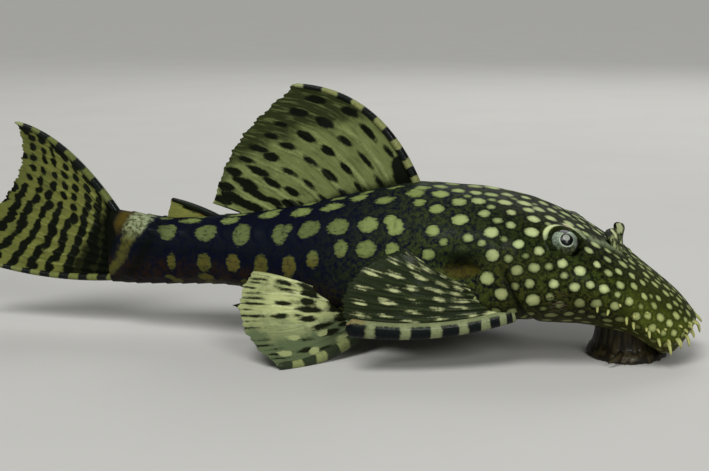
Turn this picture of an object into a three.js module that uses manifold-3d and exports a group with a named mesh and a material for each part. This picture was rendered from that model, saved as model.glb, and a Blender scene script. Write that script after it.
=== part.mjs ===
// A bristlenose pleco at rest, life size, in millimetres: snout towards +X, its left side towards +Y, +Z up.
// It leans on its mouth disc and on its two spread pelvic fins, as the fish does on a river bed.
import * as THREE from "three";
import { mergeVertices } from "three/addons/utils/BufferGeometryUtils.js";
import Module from "manifold-3d";

const wasm = await Module();
wasm.setup();

// Driving dimensions
const standardLength = 118; // snout tip to the root of the tail fin
const snoutX = 58; // the snout tip, before the model is centred
const gap = 0.3; // between nodes that touch
const fitGap = 0.35; // from a fin's root to the body, plates included

// Body lines: share of the standard length behind the snout tip, then height or width as a share of it
const topLine = lineOf([
  [0, 0.066], [0.009, 0.079], [0.035, 0.108], [0.084, 0.146], [0.151, 0.194], [0.2, 0.223], [0.28, 0.254],
  [0.374, 0.2695], [0.44, 0.273], [0.56, 0.252], [0.67, 0.225], [0.8, 0.205], [0.9, 0.198], [0.96, 0.204],
  [1, 0.211],
]);
const bellyLine = lineOf([
  [0, 0.066], [0.009, 0.048], [0.022, 0.028], [0.038, 0.012], [0.052, 0.01], [0.07, 0.019], [0.1, 0.034],
  [0.14, 0.044], [0.2, 0.053], [0.3, 0.058], [0.45, 0.043], [0.55, 0.044], [0.66, 0.062], [0.79, 0.0885],
  [0.9, 0.084], [1, 0.0805],
]);
const halfWidth = lineOf([
  [0, 0], [0.009, 0.045], [0.025, 0.074], [0.05, 0.097], [0.085, 0.116], [0.135, 0.132], [0.19, 0.143],
  [0.25, 0.151], [0.32, 0.154], [0.39, 0.149], [0.466, 0.134], [0.56, 0.113], [0.645, 0.094], [0.73, 0.077],
  [0.81, 0.063], [0.9, 0.051], [1, 0.041],
]);
const sideLine = lineOf([
  [0, 0.066], [0.02, 0.06], [0.045, 0.051], [0.075, 0.071], [0.11, 0.1], [0.18, 0.116], [0.25, 0.116],
  [0.45, 0.108], [0.6, 0.121], [0.8, 0.141], [1, 0.145],
]);
const upperFullness = lineOf([[0, 2.1], [0.2, 2.25], [0.45, 1.9], [0.7, 2], [1, 2.4]]);
const lowerFullness = lineOf([
  [0, 2.2], [0.06, 2.1], [0.12, 1.75], [0.22, 1.75], [0.32, 2.2], [0.5, 2.6], [0.75, 2.2], [1, 2.4],
]);

// Bony plates: rows round each side, from the middle of the back to the middle of the belly, in degrees
const plateRows = [0, 33, 62, 90, 118, 146, 180];
const plateStart = 0.4; // where the plates begin behind the nape, as a share of the length
const plateEnd = 0.985;
const plateColumns = 21;
const plateSeam = 0.08; // the part of a plate's length that is its step
const plateStep = 0.42; // how far the rear edge of a plate stands over the next
const plateBulge = 1.2; // how far the middle of that edge reaches back
const seamLift = 0.35; // the share of the step that is left where two rows meet
const rowShares = [0, 0.25, 0.75];
const nakedBelly = 0.62; // the belly row has no plates before this share
const headRings = 14;
const headCrowding = 1.6; // the rings stand closer towards the snout

// Where the body is parted
const gillPlane = planeThrough(new THREE.Vector3(27, 0, 10), new THREE.Vector3(0.9, 0, 0.43));
const tailPlane = planeThrough(new THREE.Vector3(-33, 0, 14), new THREE.Vector3(1, 0, 0));
const floorPlane = planeThrough(new THREE.Vector3(0, 0, 0), new THREE.Vector3(0, 0, 1));

// Head fittings
const eyeRadius = 2.9;
const eyePlace = { share: 0.2085, angle: 42, sunk: 1.35 };
const orbit = { ring: 3.2, tube: 0.72, raised: 0.95 };
const nostrilPlace = { share: 0.13, angle: 13 };
const nostrilFlap = { height: 3.8, halfWidth: 1.2, halfThick: 0.36, stalk: 0.85, back: 0.12, apart: 0.22 };
const nostrilPit = { radius: 0.95, offset: 1.5, rim: 1.05, rimTube: 0.38 };
const bristleRows = [
  { perSide: 8, from: 0.004, to: 0.17, angle: 103, length: 3.1, least: 1.5, droop: 0.8, phase: 0 },
  { perSide: 4, from: 0.006, to: 0.1, angle: 78, length: 1.9, least: 1.2, droop: 0.5, phase: 0.5 },
];
const bristle = { root: 0.6, sunk: 0.9, sides: 4 };
const cheek = { share: 0.212, angle: 98, spines: 5, length: 3.2, radius: 0.4 };

// Mouth disc under the snout: outline of its section as [share of its radius, height]
const mouth = { share: 0.11, halfLength: 7.6, halfWidth: 9.4 };
const lipSection = [
  [0, 2.2], [0.22, 2.1], [0.4, 0.8], [0.52, -0.3], [0.9, -0.3], [1, 0.5], [0.96, 1.3], [0.85, 2.2], [0.78, 8],
  [0, 8],
];
const barbel = { length: 4.2, root: 0.62, inward: 1.2, height: 1.9 };

// Fins
const membrane = 0.27; // half of the thickness between the rays
const rayRoot = 0.6; // half of a ray's thickness at the root
const rayTip = 0.34;
const branchFrom = 0.55; // the share of a ray where it forks
const scallop = 0.035; // how far the edge draws in between two rays
const bluntEnd = 0.6; // how wide a spine's last ring is, as a share of its radius

const skinPaint = new THREE.MeshStandardMaterial({ color: 0x23281a, roughness: 0.62, metalness: 0 });
const finPaint = new THREE.MeshStandardMaterial({ color: 0x6f7440, roughness: 0.55, metalness: 0 });
const lipPaint = new THREE.MeshStandardMaterial({ color: 0x8a8460, roughness: 0.6, metalness: 0 });
const eyePaint = new THREE.MeshStandardMaterial({ color: 0x9aa0a0, roughness: 0.12, metalness: 0 });

// A smooth line through [share, value] stations that never overshoots them
function lineOf(stations) {
  const last = stations.length - 1;
  const rise = [];
  for (let i = 0; i < last; i++)
    rise.push((stations[i + 1][1] - stations[i][1]) / (stations[i + 1][0] - stations[i][0]));
  const slope = stations.map((_, i) => {
    if (i === 0) return rise[0];
    if (i === last) return rise[last - 1];
    if (rise[i - 1] * rise[i] <= 0) return 0;
    return (2 * rise[i - 1] * rise[i]) / (rise[i - 1] + rise[i]);
  });
  return (share) => {
    let i = 0;
    while (i < last - 1 && share > stations[i + 1][0]) i++;
    const width = stations[i + 1][0] - stations[i][0];
    const t = THREE.MathUtils.clamp((share - stations[i][0]) / width, 0, 1);
    const t2 = t * t;
    const t3 = t2 * t;
    return (
      (2 * t3 - 3 * t2 + 1) * stations[i][1] +
      (t3 - 2 * t2 + t) * width * slope[i] +
      (3 * t2 - 2 * t3) * stations[i + 1][1] +
      (t3 - t2) * width * slope[i + 1]
    );
  };
}

function planeThrough(point, normal) {
  const unit = normal.clone().normalize();
  return { normal: unit, offset: unit.dot(point) };
}

function xAt(share) {
  return snoutX - share * standardLength;
}

function shareAt(x) {
  return (snoutX - x) / standardLength;
}

function backAt(x) {
  return topLine(shareAt(x)) * standardLength;
}

// A point of the smooth body: angle 0 is the middle of the back and 180 the middle of the belly;
// side -1 is the right
function bodyPoint(share, angle, side, swell = 0) {
  const turn = THREE.MathUtils.degToRad(angle);
  const power = 2 / (angle <= 90 ? upperFullness(share) : lowerFullness(share));
  const across = Math.abs(Math.sin(turn)) ** power;
  const upward = Math.abs(Math.cos(turn)) ** power;
  const middle = sideLine(share) * standardLength;
  const top = topLine(share) * standardLength + swell;
  const low = bellyLine(share) * standardLength - swell;
  const height = angle <= 90 ? middle + (top - middle) * upward : middle - (middle - low) * upward;
  return new THREE.Vector3(xAt(share), side * (halfWidth(share) * standardLength + swell) * across, height);
}

function bodyNormal(share, angle, side) {
  const step = 0.01;
  const ahead = bodyPoint(Math.max(share - step, 0.001), angle, side);
  const along = bodyPoint(share + step, angle, side).sub(ahead);
  const round = bodyPoint(share, angle + 2, side).sub(bodyPoint(share, angle - 2, side));
  const normal = new THREE.Vector3().crossVectors(along, round).normalize();
  const middle = new THREE.Vector3(xAt(share), 0, sideLine(share) * standardLength);
  const outward = bodyPoint(share, angle, side).sub(middle);
  return normal.dot(outward) < 0 ? normal.negate() : normal;
}

// A closed geometry from rings of equal count: an end ring of one point is a pole, and any other end
// is closed by a fan
function skinOf(rings) {
  const points = [];
  const faces = [];
  const count = Math.max(...rings.map((ring) => ring.length));
  const starts = rings.map((ring) => {
    const start = points.length;
    points.push(...ring);
    return start;
  });
  const corner = (i, j) => starts[i] + (rings[i].length > 1 ? j % count : 0);
  for (let i = 0; i < rings.length - 1; i++)
    for (let j = 0; j < count; j++) {
      if (rings[i].length > 1) faces.push(corner(i, j), corner(i, j + 1), corner(i + 1, j));
      if (rings[i + 1].length > 1) faces.push(corner(i, j + 1), corner(i + 1, j + 1), corner(i + 1, j));
    }
  for (const i of [0, rings.length - 1]) {
    if (rings[i].length === 1) continue;
    const centre = rings[i].reduce((sum, p) => sum.add(p), new THREE.Vector3()).divideScalar(count);
    points.push(centre);
    for (let j = 0; j < count; j++) {
      const edge = [corner(i, j), corner(i, j + 1)];
      if (i === 0) edge.reverse();
      faces.push(...edge, points.length - 1);
    }
  }
  const geometry = new THREE.BufferGeometry().setFromPoints(points);
  geometry.setIndex(faces);
  return geometry;
}

function solidOf(geometry) {
  const bare = geometry.index ? geometry.toNonIndexed() : geometry.clone();
  for (const name of Object.keys(bare.attributes)) if (name !== "position") bare.deleteAttribute(name);
  const merged = mergeVertices(bare, 1e-4);
  const mesh = new wasm.Mesh({
    numProp: 3,
    vertProperties: new Float32Array(merged.attributes.position.array),
    triVerts: new Uint32Array(merged.index.array),
  });
  const solid = new wasm.Manifold(mesh);
  if (solid.volume() > 0) return solid;
  for (let i = 0; i < mesh.triVerts.length; i += 3)
    [mesh.triVerts[i + 1], mesh.triVerts[i + 2]] = [mesh.triVerts[i + 2], mesh.triVerts[i + 1]];
  return new wasm.Manifold(mesh);
}

function largestOf(solid) {
  return solid.decompose().reduce((best, piece) => (piece.volume() > best.volume() ? piece : best));
}

function above(solid, plane, shift = 0) {
  return solid.trimByPlane(plane.normal.toArray(), plane.offset + shift);
}

function below(solid, plane, shift = 0) {
  return solid.trimByPlane(plane.normal.clone().negate().toArray(), -plane.offset - shift);
}

function geometryOf(solid) {
  const mesh = solid.getMesh();
  const geometry = new THREE.BufferGeometry();
  const places = new Float32Array(mesh.numVert * 3);
  for (let i = 0; i < mesh.numVert; i++)
    places.set(mesh.vertProperties.subarray(i * mesh.numProp, i * mesh.numProp + 3), i * 3);
  geometry.setAttribute("position", new THREE.BufferAttribute(places, 3));
  geometry.setIndex(new THREE.BufferAttribute(mesh.triVerts, 1));
  geometry.computeVertexNormals();
  return geometry;
}

// A rod along a line of points, oval in section: half widths lie along `across`, and a last one of 0
// ends in a point
function rodOf(points, halfWidths, flatness, across, sides) {
  const curve = new THREE.CatmullRomCurve3(points);
  const rings = halfWidths.map((halfWide, i) => {
    const share = i / (halfWidths.length - 1);
    const centre = curve.getPoint(share);
    if (halfWide === 0) return [centre];
    const tangent = curve.getTangent(share);
    const wide = across.clone().addScaledVector(tangent, -across.dot(tangent)).normalize();
    const thick = new THREE.Vector3().crossVectors(tangent, wide);
    return Array.from({ length: sides }, (_, j) => {
      const turn = (2 * Math.PI * j) / sides;
      return centre
        .clone()
        .addScaledVector(wide, halfWide * Math.cos(turn))
        .addScaledVector(thick, halfWide * flatness * Math.sin(turn));
    });
  });
  return solidOf(skinOf(rings));
}

// The body with its plates

function ringPlaces() {
  const half = [];
  for (let row = 0; row < plateRows.length - 1; row++)
    for (const share of rowShares)
      half.push({ row, share, angle: THREE.MathUtils.lerp(plateRows[row], plateRows[row + 1], share) });
  const right = half.map((place) => ({ ...place, side: -1 }));
  const left = half.slice(1).reverse().map((place) => ({ ...place, side: 1 }));
  return [...right, { row: plateRows.length - 2, share: 1, angle: 180, side: 1 }, ...left];
}

function smoothRing(share, swell = 0) {
  return ringPlaces().map(({ angle, side }) => bodyPoint(share, angle, side, swell));
}

function plateRing(share, step) {
  return ringPlaces().map(({ row, share: across, angle, side }) => {
    const naked = row === plateRows.length - 2 && share < nakedBelly;
    const crest = naked ? 0 : 1 - (2 * across - 1) ** 2;
    const height = naked ? 0 : step * Math.min(1, seamLift + crest);
    return bodyPoint(share + (plateBulge * crest) / standardLength, angle, side, height);
  });
}

function bodyRings(swell) {
  const nose = bodyPoint(0, 0, 1).add(new THREE.Vector3(swell, 0, 0));
  const rings = [[nose]];
  for (let i = 1; i < headRings; i++)
    rings.push(smoothRing(plateStart * (i / headRings) ** headCrowding, swell));
  return rings;
}

function platedBody() {
  const rings = bodyRings(0);
  const pitch = (plateEnd - plateStart) / plateColumns;
  rings.push(smoothRing(plateStart));
  for (let column = 0; column < plateColumns; column++) {
    const front = plateStart + column * pitch;
    if (column > 0) rings.push(plateRing(front + plateSeam * pitch, 0));
    rings.push(plateRing(front + pitch, plateStep));
  }
  rings.push(smoothRing(1));
  return solidOf(skinOf(rings));
}

// The body swollen all round, which cuts a fin's root to meet it
function swollenBody(swell) {
  const rings = bodyRings(swell);
  for (let column = 0; column <= plateColumns; column++)
    rings.push(smoothRing(THREE.MathUtils.lerp(plateStart, 1, column / plateColumns), swell));
  rings.push(rings.at(-1).map((p) => p.clone().add(new THREE.Vector3(-swell, 0, 0))));
  return solidOf(skinOf(rings));
}

const body = platedBody();
const headCutter = swollenBody(fitGap);
const finCutter = swollenBody(plateStep + fitGap);

// Eyes, orbits, nostrils, bristles and cheek spines

function eyeCentre(side) {
  const { share, angle, sunk } = eyePlace;
  return bodyPoint(share, angle, side).addScaledVector(bodyNormal(share, angle, side), -sunk);
}

function ringSolid(place, direction, radius, tube, sides, steps) {
  const geometry = new THREE.TorusGeometry(radius, tube, sides, steps);
  geometry.applyQuaternion(new THREE.Quaternion().setFromUnitVectors(new THREE.Vector3(0, 0, 1), direction));
  return solidOf(geometry.translate(place.x, place.y, place.z));
}

function orbitSolid(side) {
  const out = bodyNormal(eyePlace.share, eyePlace.angle, side);
  const place = eyeCentre(side).addScaledVector(out, orbit.raised);
  return ringSolid(place, out, orbit.ring, orbit.tube, 5, 18);
}

function ballSolid(centre, radius, across, down) {
  return solidOf(new THREE.SphereGeometry(radius, across, down).translate(centre.x, centre.y, centre.z));
}

function nostrilFlapSolid(side) {
  const root = bodyPoint(nostrilPlace.share, nostrilPlace.angle, side);
  const lean = new THREE.Vector3(side * nostrilFlap.apart - nostrilFlap.back, side * 0.1, 1);
  const { height, halfWidth: wide, stalk } = nostrilFlap;
  const points = [-0.3, 0, 0.35, 0.7, 1].map((rise) => root.clone().addScaledVector(lean, height * rise));
  const widths = [stalk, stalk, 0.8, 1, 0.85, 0.35].map((share) => share * wide);
  const broadside = new THREE.Vector3(0.9, side * -0.4, 0);
  return rodOf(points, widths, nostrilFlap.halfThick / nostrilFlap.halfWidth, broadside, 8);
}

function nostrilPlaces(side) {
  const { share, angle } = nostrilPlace;
  return [-1, 1].map((way) => {
    const at = share + (way * nostrilPit.offset) / standardLength;
    return { place: bodyPoint(at, angle, side), out: bodyNormal(at, angle, side) };
  });
}

function nostrilRims(side) {
  return nostrilPlaces(side).map(({ place, out }) =>
    ringSolid(place.addScaledVector(out, 0.15), out, nostrilPit.rim, nostrilPit.rimTube, 5, 10),
  );
}

function nostrilPits(side) {
  return nostrilPlaces(side).map(({ place, out }) =>
    ballSolid(place.addScaledVector(out, 0.35), nostrilPit.radius, 8, 6),
  );
}

function bristleSolid(root, out, length, droop) {
  const down = new THREE.Vector3(0, 0, -1);
  const points = [-bristle.sunk / length, 0.3, 0.7, 1].map((reach) =>
    root
      .clone()
      .addScaledVector(out, reach * length * (1 - 0.35 * Math.max(reach, 0)))
      .addScaledVector(down, droop * length * Math.max(reach, 0) ** 2),
  );
  const radii = [1, 0.85, 0.6, 0].map((share) => share * bristle.root);
  return rodOf(points, radii, 1, new THREE.Vector3(0.2, 0.1, 1), bristle.sides);
}

function snoutBristles() {
  const made = [];
  for (const row of bristleRows)
    for (const side of [-1, 1])
      for (let i = 0; i < row.perSide; i++) {
        const place = (i + row.phase + 0.35) / row.perSide;
        const share = THREE.MathUtils.lerp(row.from, row.to, place ** 1.5);
        const wobble = Math.sin(7.3 * i + 2.1 * side + 5 * row.phase);
        const angle = row.angle + 4 * wobble;
        const length = THREE.MathUtils.lerp(row.length, row.least, place) * (1 + 0.15 * wobble);
        const root = bodyPoint(share, angle, side);
        made.push(bristleSolid(root, bodyNormal(share, angle, side), length, row.droop));
      }
  return made;
}

function cheekSpines(side) {
  return Array.from({ length: cheek.spines }, (_, i) => {
    const fan = i / (cheek.spines - 1) - 0.5;
    const angle = cheek.angle + 18 * fan;
    const share = cheek.share + 0.006 * Math.sin(5 * i);
    const root = bodyPoint(share, angle, side);
    const out = bodyNormal(share, angle, side);
    const back = new THREE.Vector3(-1, 0, -0.25 * fan);
    const length = cheek.length * (1 - 0.35 * Math.abs(fan));
    const points = [
      root.clone().addScaledVector(out, -0.7).addScaledVector(back, -0.8),
      root.clone().addScaledVector(out, 0.5),
      root.clone().addScaledVector(out, 1.1).addScaledVector(back, 0.6 * length),
      root.clone().addScaledVector(out, 1).addScaledVector(back, length),
    ];
    const radii = [1, 0.9, 0.6, 0].map((part) => part * cheek.radius);
    return rodOf(points, radii, 1, new THREE.Vector3(0, 0.3, 1), 4);
  });
}

function headSolid() {
  const grown = [above(body, gillPlane, gap / 2), ...snoutBristles()];
  for (const side of [-1, 1])
    grown.push(orbitSolid(side), nostrilFlapSolid(side), ...nostrilRims(side), ...cheekSpines(side));
  let head = wasm.Manifold.union(grown);
  for (const side of [-1, 1]) {
    head = head.subtract(ballSolid(eyeCentre(side), eyeRadius + gap, 16, 10));
    for (const pit of nostrilPits(side)) head = head.subtract(pit);
  }
  return largestOf(above(head, floorPlane, gap));
}

// The mouth disc: a round lip with a dish in it, and a barbel at each corner
function mouthSolid() {
  const disc = new THREE.LatheGeometry(lipSection.map(([r, z]) => new THREE.Vector2(r, z)), 26);
  disc.rotateX(Math.PI / 2);
  disc.scale(mouth.halfLength, mouth.halfWidth, 1);
  disc.translate(xAt(mouth.share), 0, 0);
  const pieces = [solidOf(disc)];
  for (const side of [-1, 1]) {
    const corner = side * (mouth.halfWidth - barbel.inward);
    const root = new THREE.Vector3(xAt(mouth.share) - 1, corner, barbel.height);
    const points = [0, 0.4, 0.75, 1].map((reach) => {
      const bend = new THREE.Vector3(-0.5 * reach ** 2, side * reach, -0.2 * reach);
      return root.clone().addScaledVector(bend, barbel.length);
    });
    const radii = [1, 1, 0.7, 0].map((share) => share * barbel.root);
    pieces.push(rodOf(points, radii, 1, new THREE.Vector3(0, 0, 1), 6));
  }
  return largestOf(above(wasm.Manifold.union(pieces).subtract(headCutter), floorPlane));
}

// Fins: rays as curves from root to tip, with the membrane spanned between them

function rayCurve(root, tip, bow) {
  const middle = root.clone().add(tip).multiplyScalar(0.5).add(bow);
  return new THREE.QuadraticBezierCurve3(root, middle, tip);
}

// Half of a fin's thickness: rays stand out as ridges and fork towards the edge
function finHalf(share, v, rayShare) {
  const ray = rayShare * THREE.MathUtils.lerp(rayRoot, rayTip, v);
  const onRay = share === 0 || share === 1;
  const ridge = v < branchFrom ? onRay : !onRay && share !== 0.5;
  return ridge ? Math.max(ray, membrane) : membrane;
}

function membraneSolid(rays, rows, rayShare = 1) {
  const columns = [];
  for (let i = 0; i < rays.length - 1; i++) for (const share of finShares) columns.push({ ray: i, share });
  columns.push({ ray: rays.length - 2, share: 1 });
  const last = columns.length - 1;
  const place = ({ ray, share }, v) => {
    const reach = v * (1 - 4 * scallop * share * (1 - share));
    return rays[ray].getPoint(reach).lerp(rays[ray + 1].getPoint(reach), share);
  };
  const grid = columns.map((column) => Array.from({ length: rows + 1 }, (_, j) => place(column, j / rows)));
  const front = [];
  const rear = [];
  columns.forEach((column, i) => {
    for (let j = 0; j <= rows; j++) {
      const across = grid[Math.min(i + 1, last)][j].clone().sub(grid[Math.max(i - 1, 0)][j]);
      const along = grid[i][Math.min(j + 1, rows)].clone().sub(grid[i][Math.max(j - 1, 0)]);
      const normal = new THREE.Vector3().crossVectors(across, along).normalize();
      const half = finHalf(column.share, j / rows, rayShare);
      front.push(grid[i][j].clone().addScaledVector(normal, half));
      rear.push(grid[i][j].clone().addScaledVector(normal, -half));
    }
  });
  const at = (i, j) => i * (rows + 1) + j;
  const behind = front.length;
  const faces = [];
  for (let i = 0; i < last; i++)
    for (let j = 0; j < rows; j++) {
      const [a, b, c, d] = [at(i, j), at(i + 1, j), at(i + 1, j + 1), at(i, j + 1)];
      faces.push(a, b, c, a, c, d);
      faces.push(behind + a, behind + c, behind + b, behind + a, behind + d, behind + c);
    }
  const border = [];
  for (let i = 0; i < last; i++) border.push([at(i + 1, 0), at(i, 0)], [at(i, rows), at(i + 1, rows)]);
  for (let j = 0; j < rows; j++) border.push([at(0, j), at(0, j + 1)], [at(last, j + 1), at(last, j)]);
  for (const [a, b] of border) faces.push(a, b, behind + b, a, behind + b, behind + a);
  const geometry = new THREE.BufferGeometry().setFromPoints([...front, ...rear]);
  geometry.setIndex(faces);
  return solidOf(geometry);
}

// A stout ray or spine along a ray's curve
function spineSolid(ray, root, tip, across, sides = 8, steps = 7) {
  const points = Array.from({ length: steps + 1 }, (_, i) => ray.getPoint(i / steps));
  const radii = points.map((_, i) => THREE.MathUtils.lerp(root, tip, (i / steps) ** 1.5));
  radii[steps] *= bluntEnd;
  return rodOf(points, radii, 0.8, across, sides);
}

function finNode(pieces) {
  return largestOf(above(wasm.Manifold.union(pieces).subtract(finCutter), floorPlane));
}

const finShares = [0, 0.2, 0.5, 0.8];
const sideways = new THREE.Vector3(0, 1, 0);
const upright = new THREE.Vector3(0, 0, 1);

const dorsal = {
  rays: 8,
  rows: 8,
  frontX: 4.2,
  rearX: -28.5,
  spineTip: new THREE.Vector3(-21.4, 0, 50.7),
  rearTip: new THREE.Vector3(-38.2, 0, 26.6),
  edgeBow: 2.8,
  spineBow: new THREE.Vector3(5, 0, 9.7),
  sway: 1.4,
  sunk: 1.6,
};

function dorsalSolid() {
  const rays = Array.from({ length: dorsal.rays }, (_, i) => {
    const share = i / (dorsal.rays - 1);
    const middle = Math.sin(Math.PI * share);
    const x = THREE.MathUtils.lerp(dorsal.frontX, dorsal.rearX, share);
    const root = new THREE.Vector3(x, 0, backAt(x) - dorsal.sunk);
    const tip = dorsal.spineTip.clone().lerp(dorsal.rearTip, share ** 0.9);
    tip.add(new THREE.Vector3(-dorsal.edgeBow * middle, dorsal.sway * middle, 0.5 * dorsal.edgeBow * middle));
    return rayCurve(root, tip, dorsal.spineBow.clone().multiplyScalar((1 - share) ** 1.4));
  });
  return finNode([membraneSolid(rays, dorsal.rows), spineSolid(rays[0], 1.05, 0.5, sideways)]);
}

const caudal = {
  rays: 12,
  rows: 6,
  rootX: -58.5,
  upperRoot: 23.6,
  lowerRoot: 10.6,
  upperTip: new THREE.Vector3(-80.8, 0, 42.2),
  lowerTip: new THREE.Vector3(-97, 0, 14.6),
  notch: 5.5,
  upperBow: new THREE.Vector3(0, 0, 7),
  lowerBow: new THREE.Vector3(0, 0, -4),
  sway: 2.4,
};

function caudalSolid() {
  const rays = Array.from({ length: caudal.rays }, (_, i) => {
    const share = i / (caudal.rays - 1);
    const rootZ = THREE.MathUtils.lerp(caudal.upperRoot, caudal.lowerRoot, share);
    const tip = caudal.upperTip.clone().lerp(caudal.lowerTip, share);
    tip.x += caudal.notch * Math.sin(Math.PI * share ** 0.85);
    tip.y += caudal.sway * Math.sin(Math.PI * share * 0.9);
    const bow = caudal.upperBow.clone().lerp(caudal.lowerBow, share);
    return rayCurve(new THREE.Vector3(caudal.rootX, 0, rootZ), tip, bow);
  });
  return finNode([
    membraneSolid(rays, caudal.rows),
    spineSolid(rays[0], 0.95, 0.45, sideways),
    spineSolid(rays.at(-1), 0.95, 0.45, sideways),
  ]);
}

const pectoral = {
  rays: 7,
  rows: 7,
  stout: 1.35,
  stoutTip: 1.7,
  spineRoot: new THREE.Vector3(24.5, 16.2, 10.2),
  innerRoot: new THREE.Vector3(16.4, 17, 15),
  spineTip: new THREE.Vector3(-4.8, 26.5, 8.9),
  innerTip: new THREE.Vector3(4.5, 18.2, 22.3),
  spineBow: new THREE.Vector3(1, 2.4, -3),
  innerBow: new THREE.Vector3(0, 4.6, 0.4),
  edgeBow: 5.2,
};

const pelvic = {
  rays: 6,
  rows: 7,
  stout: 1.3,
  stoutTip: 0.6,
  spineRoot: new THREE.Vector3(-2.4, 8, 6.8),
  innerRoot: new THREE.Vector3(-7.4, 8.4, 8.6),
  spineTip: new THREE.Vector3(-17.6, 26.5, 0.8),
  innerTip: new THREE.Vector3(-26, 13.6, 15.8),
  spineBow: new THREE.Vector3(1, 0.8, -4.4),
  innerBow: new THREE.Vector3(0, 2.6, 3),
  edgeBow: 5,
};

// A paired fin, given for the left side and mirrored for the right
function pairedSolid(fin, side) {
  const flip = (v) => new THREE.Vector3(v.x, side * v.y, v.z);
  const rays = Array.from({ length: fin.rays }, (_, i) => {
    const share = i / (fin.rays - 1);
    const root = fin.spineRoot.clone().lerp(fin.innerRoot, share);
    const tip = fin.spineTip.clone().lerp(fin.innerTip, share);
    tip.addScaledVector(tip.clone().sub(root).normalize(), fin.edgeBow * Math.sin(Math.PI * share));
    return rayCurve(flip(root), flip(tip), flip(fin.spineBow.clone().lerp(fin.innerBow, share)));
  });
  return finNode([membraneSolid(rays, fin.rows), spineSolid(rays[0], fin.stout, fin.stoutTip, upright)]);
}

const anal = {
  rays: 5,
  rows: 4,
  frontX: -20,
  rearX: -24.5,
  frontTip: new THREE.Vector3(-29.5, 0, 3.2),
  rearTip: new THREE.Vector3(-34.5, 0, 5.6),
  bow: new THREE.Vector3(0.6, 0, -0.7),
};

function analSolid() {
  const rays = Array.from({ length: anal.rays }, (_, i) => {
    const share = i / (anal.rays - 1);
    const x = THREE.MathUtils.lerp(anal.frontX, anal.rearX, share);
    const root = new THREE.Vector3(x, 0, bellyLine(shareAt(x)) * standardLength + 1.4);
    return rayCurve(root, anal.frontTip.clone().lerp(anal.rearTip, share), anal.bow);
  });
  return finNode([membraneSolid(rays, anal.rows, 0.8), spineSolid(rays[0], 0.55, 0.35, sideways, 6, 4)]);
}

const adipose = {
  rootX: -37.2,
  tipX: -47,
  endX: -48.6,
  rise: 3.8,
  spine: 0.8,
  spineBow: new THREE.Vector3(0, 0, 0.6),
  footBow: new THREE.Vector3(0, 0, -0.3),
};

function adiposeSolid() {
  const onBack = (x, lift) => new THREE.Vector3(x, 0, backAt(x) + lift);
  const { rootX, tipX, endX, rise, spineBow, footBow } = adipose;
  const spine = rayCurve(onBack(rootX, -0.5), onBack(tipX, rise), spineBow);
  const foot = rayCurve(onBack(rootX - 2, -1.6), onBack(endX, -1.2), footBow);
  const rod = spineSolid(spine, adipose.spine, 0.4, sideways, 6, 5);
  return finNode([membraneSolid([spine, foot], 5, 0.5), rod]);
}

// Assembly
const model = new THREE.Group();

function addNode(name, solid, paint) {
  const mesh = new THREE.Mesh(geometryOf(solid), paint);
  mesh.name = name;
  model.add(mesh);
}

addNode("head", headSolid(), skinPaint);
addNode("trunk", largestOf(above(below(body, gillPlane, -gap / 2), tailPlane, gap / 2)), skinPaint);
addNode("tail", largestOf(below(body, tailPlane, -gap / 2)), skinPaint);
addNode("mouth_disc", mouthSolid(), lipPaint);
addNode("dorsal_fin", dorsalSolid(), finPaint);
addNode("adipose_fin", adiposeSolid(), finPaint);
addNode("caudal_fin", caudalSolid(), finPaint);
addNode("anal_fin", analSolid(), finPaint);
for (const [label, side] of [["right", -1], ["left", 1]]) {
  addNode("pectoral_fin_" + label, pairedSolid(pectoral, side), finPaint);
  addNode("pelvic_fin_" + label, pairedSolid(pelvic, side), finPaint);
  addNode("eye_" + label, ballSolid(eyeCentre(side), eyeRadius, 14, 10), eyePaint);
}

// The origin is on the floor, under the middle of the whole length
const extent = new THREE.Box3().setFromObject(model);
model.position.x = -(extent.min.x + extent.max.x) / 2;

export default model;
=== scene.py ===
"""The looks of a bristlenose pleco at rest, life size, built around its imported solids.

Lengths are in millimetres while a form is worked out, with the snout towards +X and the fish's left side
towards +Y, and become metres in the row frame when a mesh is written.
"""
import logging
import math
from dataclasses import dataclass
from enum import Enum, IntEnum
from typing import Sequence, Union

import bpy
import numpy as np
from mathutils import Matrix, Vector


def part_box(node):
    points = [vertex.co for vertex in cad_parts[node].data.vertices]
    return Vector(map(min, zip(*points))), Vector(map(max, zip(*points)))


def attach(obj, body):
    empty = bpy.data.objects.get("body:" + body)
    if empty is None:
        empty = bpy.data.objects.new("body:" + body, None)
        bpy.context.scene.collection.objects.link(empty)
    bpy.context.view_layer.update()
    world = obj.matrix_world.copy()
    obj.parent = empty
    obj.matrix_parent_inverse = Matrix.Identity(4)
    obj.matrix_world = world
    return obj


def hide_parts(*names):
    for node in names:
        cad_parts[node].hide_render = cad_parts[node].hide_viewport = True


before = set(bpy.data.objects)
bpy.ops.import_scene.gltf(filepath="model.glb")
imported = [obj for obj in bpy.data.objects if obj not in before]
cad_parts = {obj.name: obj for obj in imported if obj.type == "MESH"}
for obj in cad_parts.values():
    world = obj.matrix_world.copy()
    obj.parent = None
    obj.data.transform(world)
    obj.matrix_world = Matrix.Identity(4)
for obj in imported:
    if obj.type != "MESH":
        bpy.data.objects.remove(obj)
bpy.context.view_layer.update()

log = logging.getLogger("pleco")
MM = 0.001
TAIL_FRONT_X = -33.15  # where the solid of the tail begins, before the model is centred
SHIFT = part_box("tail")[1].x / MM - TAIL_FRONT_X
SEED = 20
CLOSE = 2e-6  # vertices nearer than this, in metres, are one
THICKNESS_LEVELS = 400
Array = np.ndarray
Piece = bpy.types.Object
Material = bpy.types.Material
Point = tuple[float, float, float]


# Numbers and forms


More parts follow.
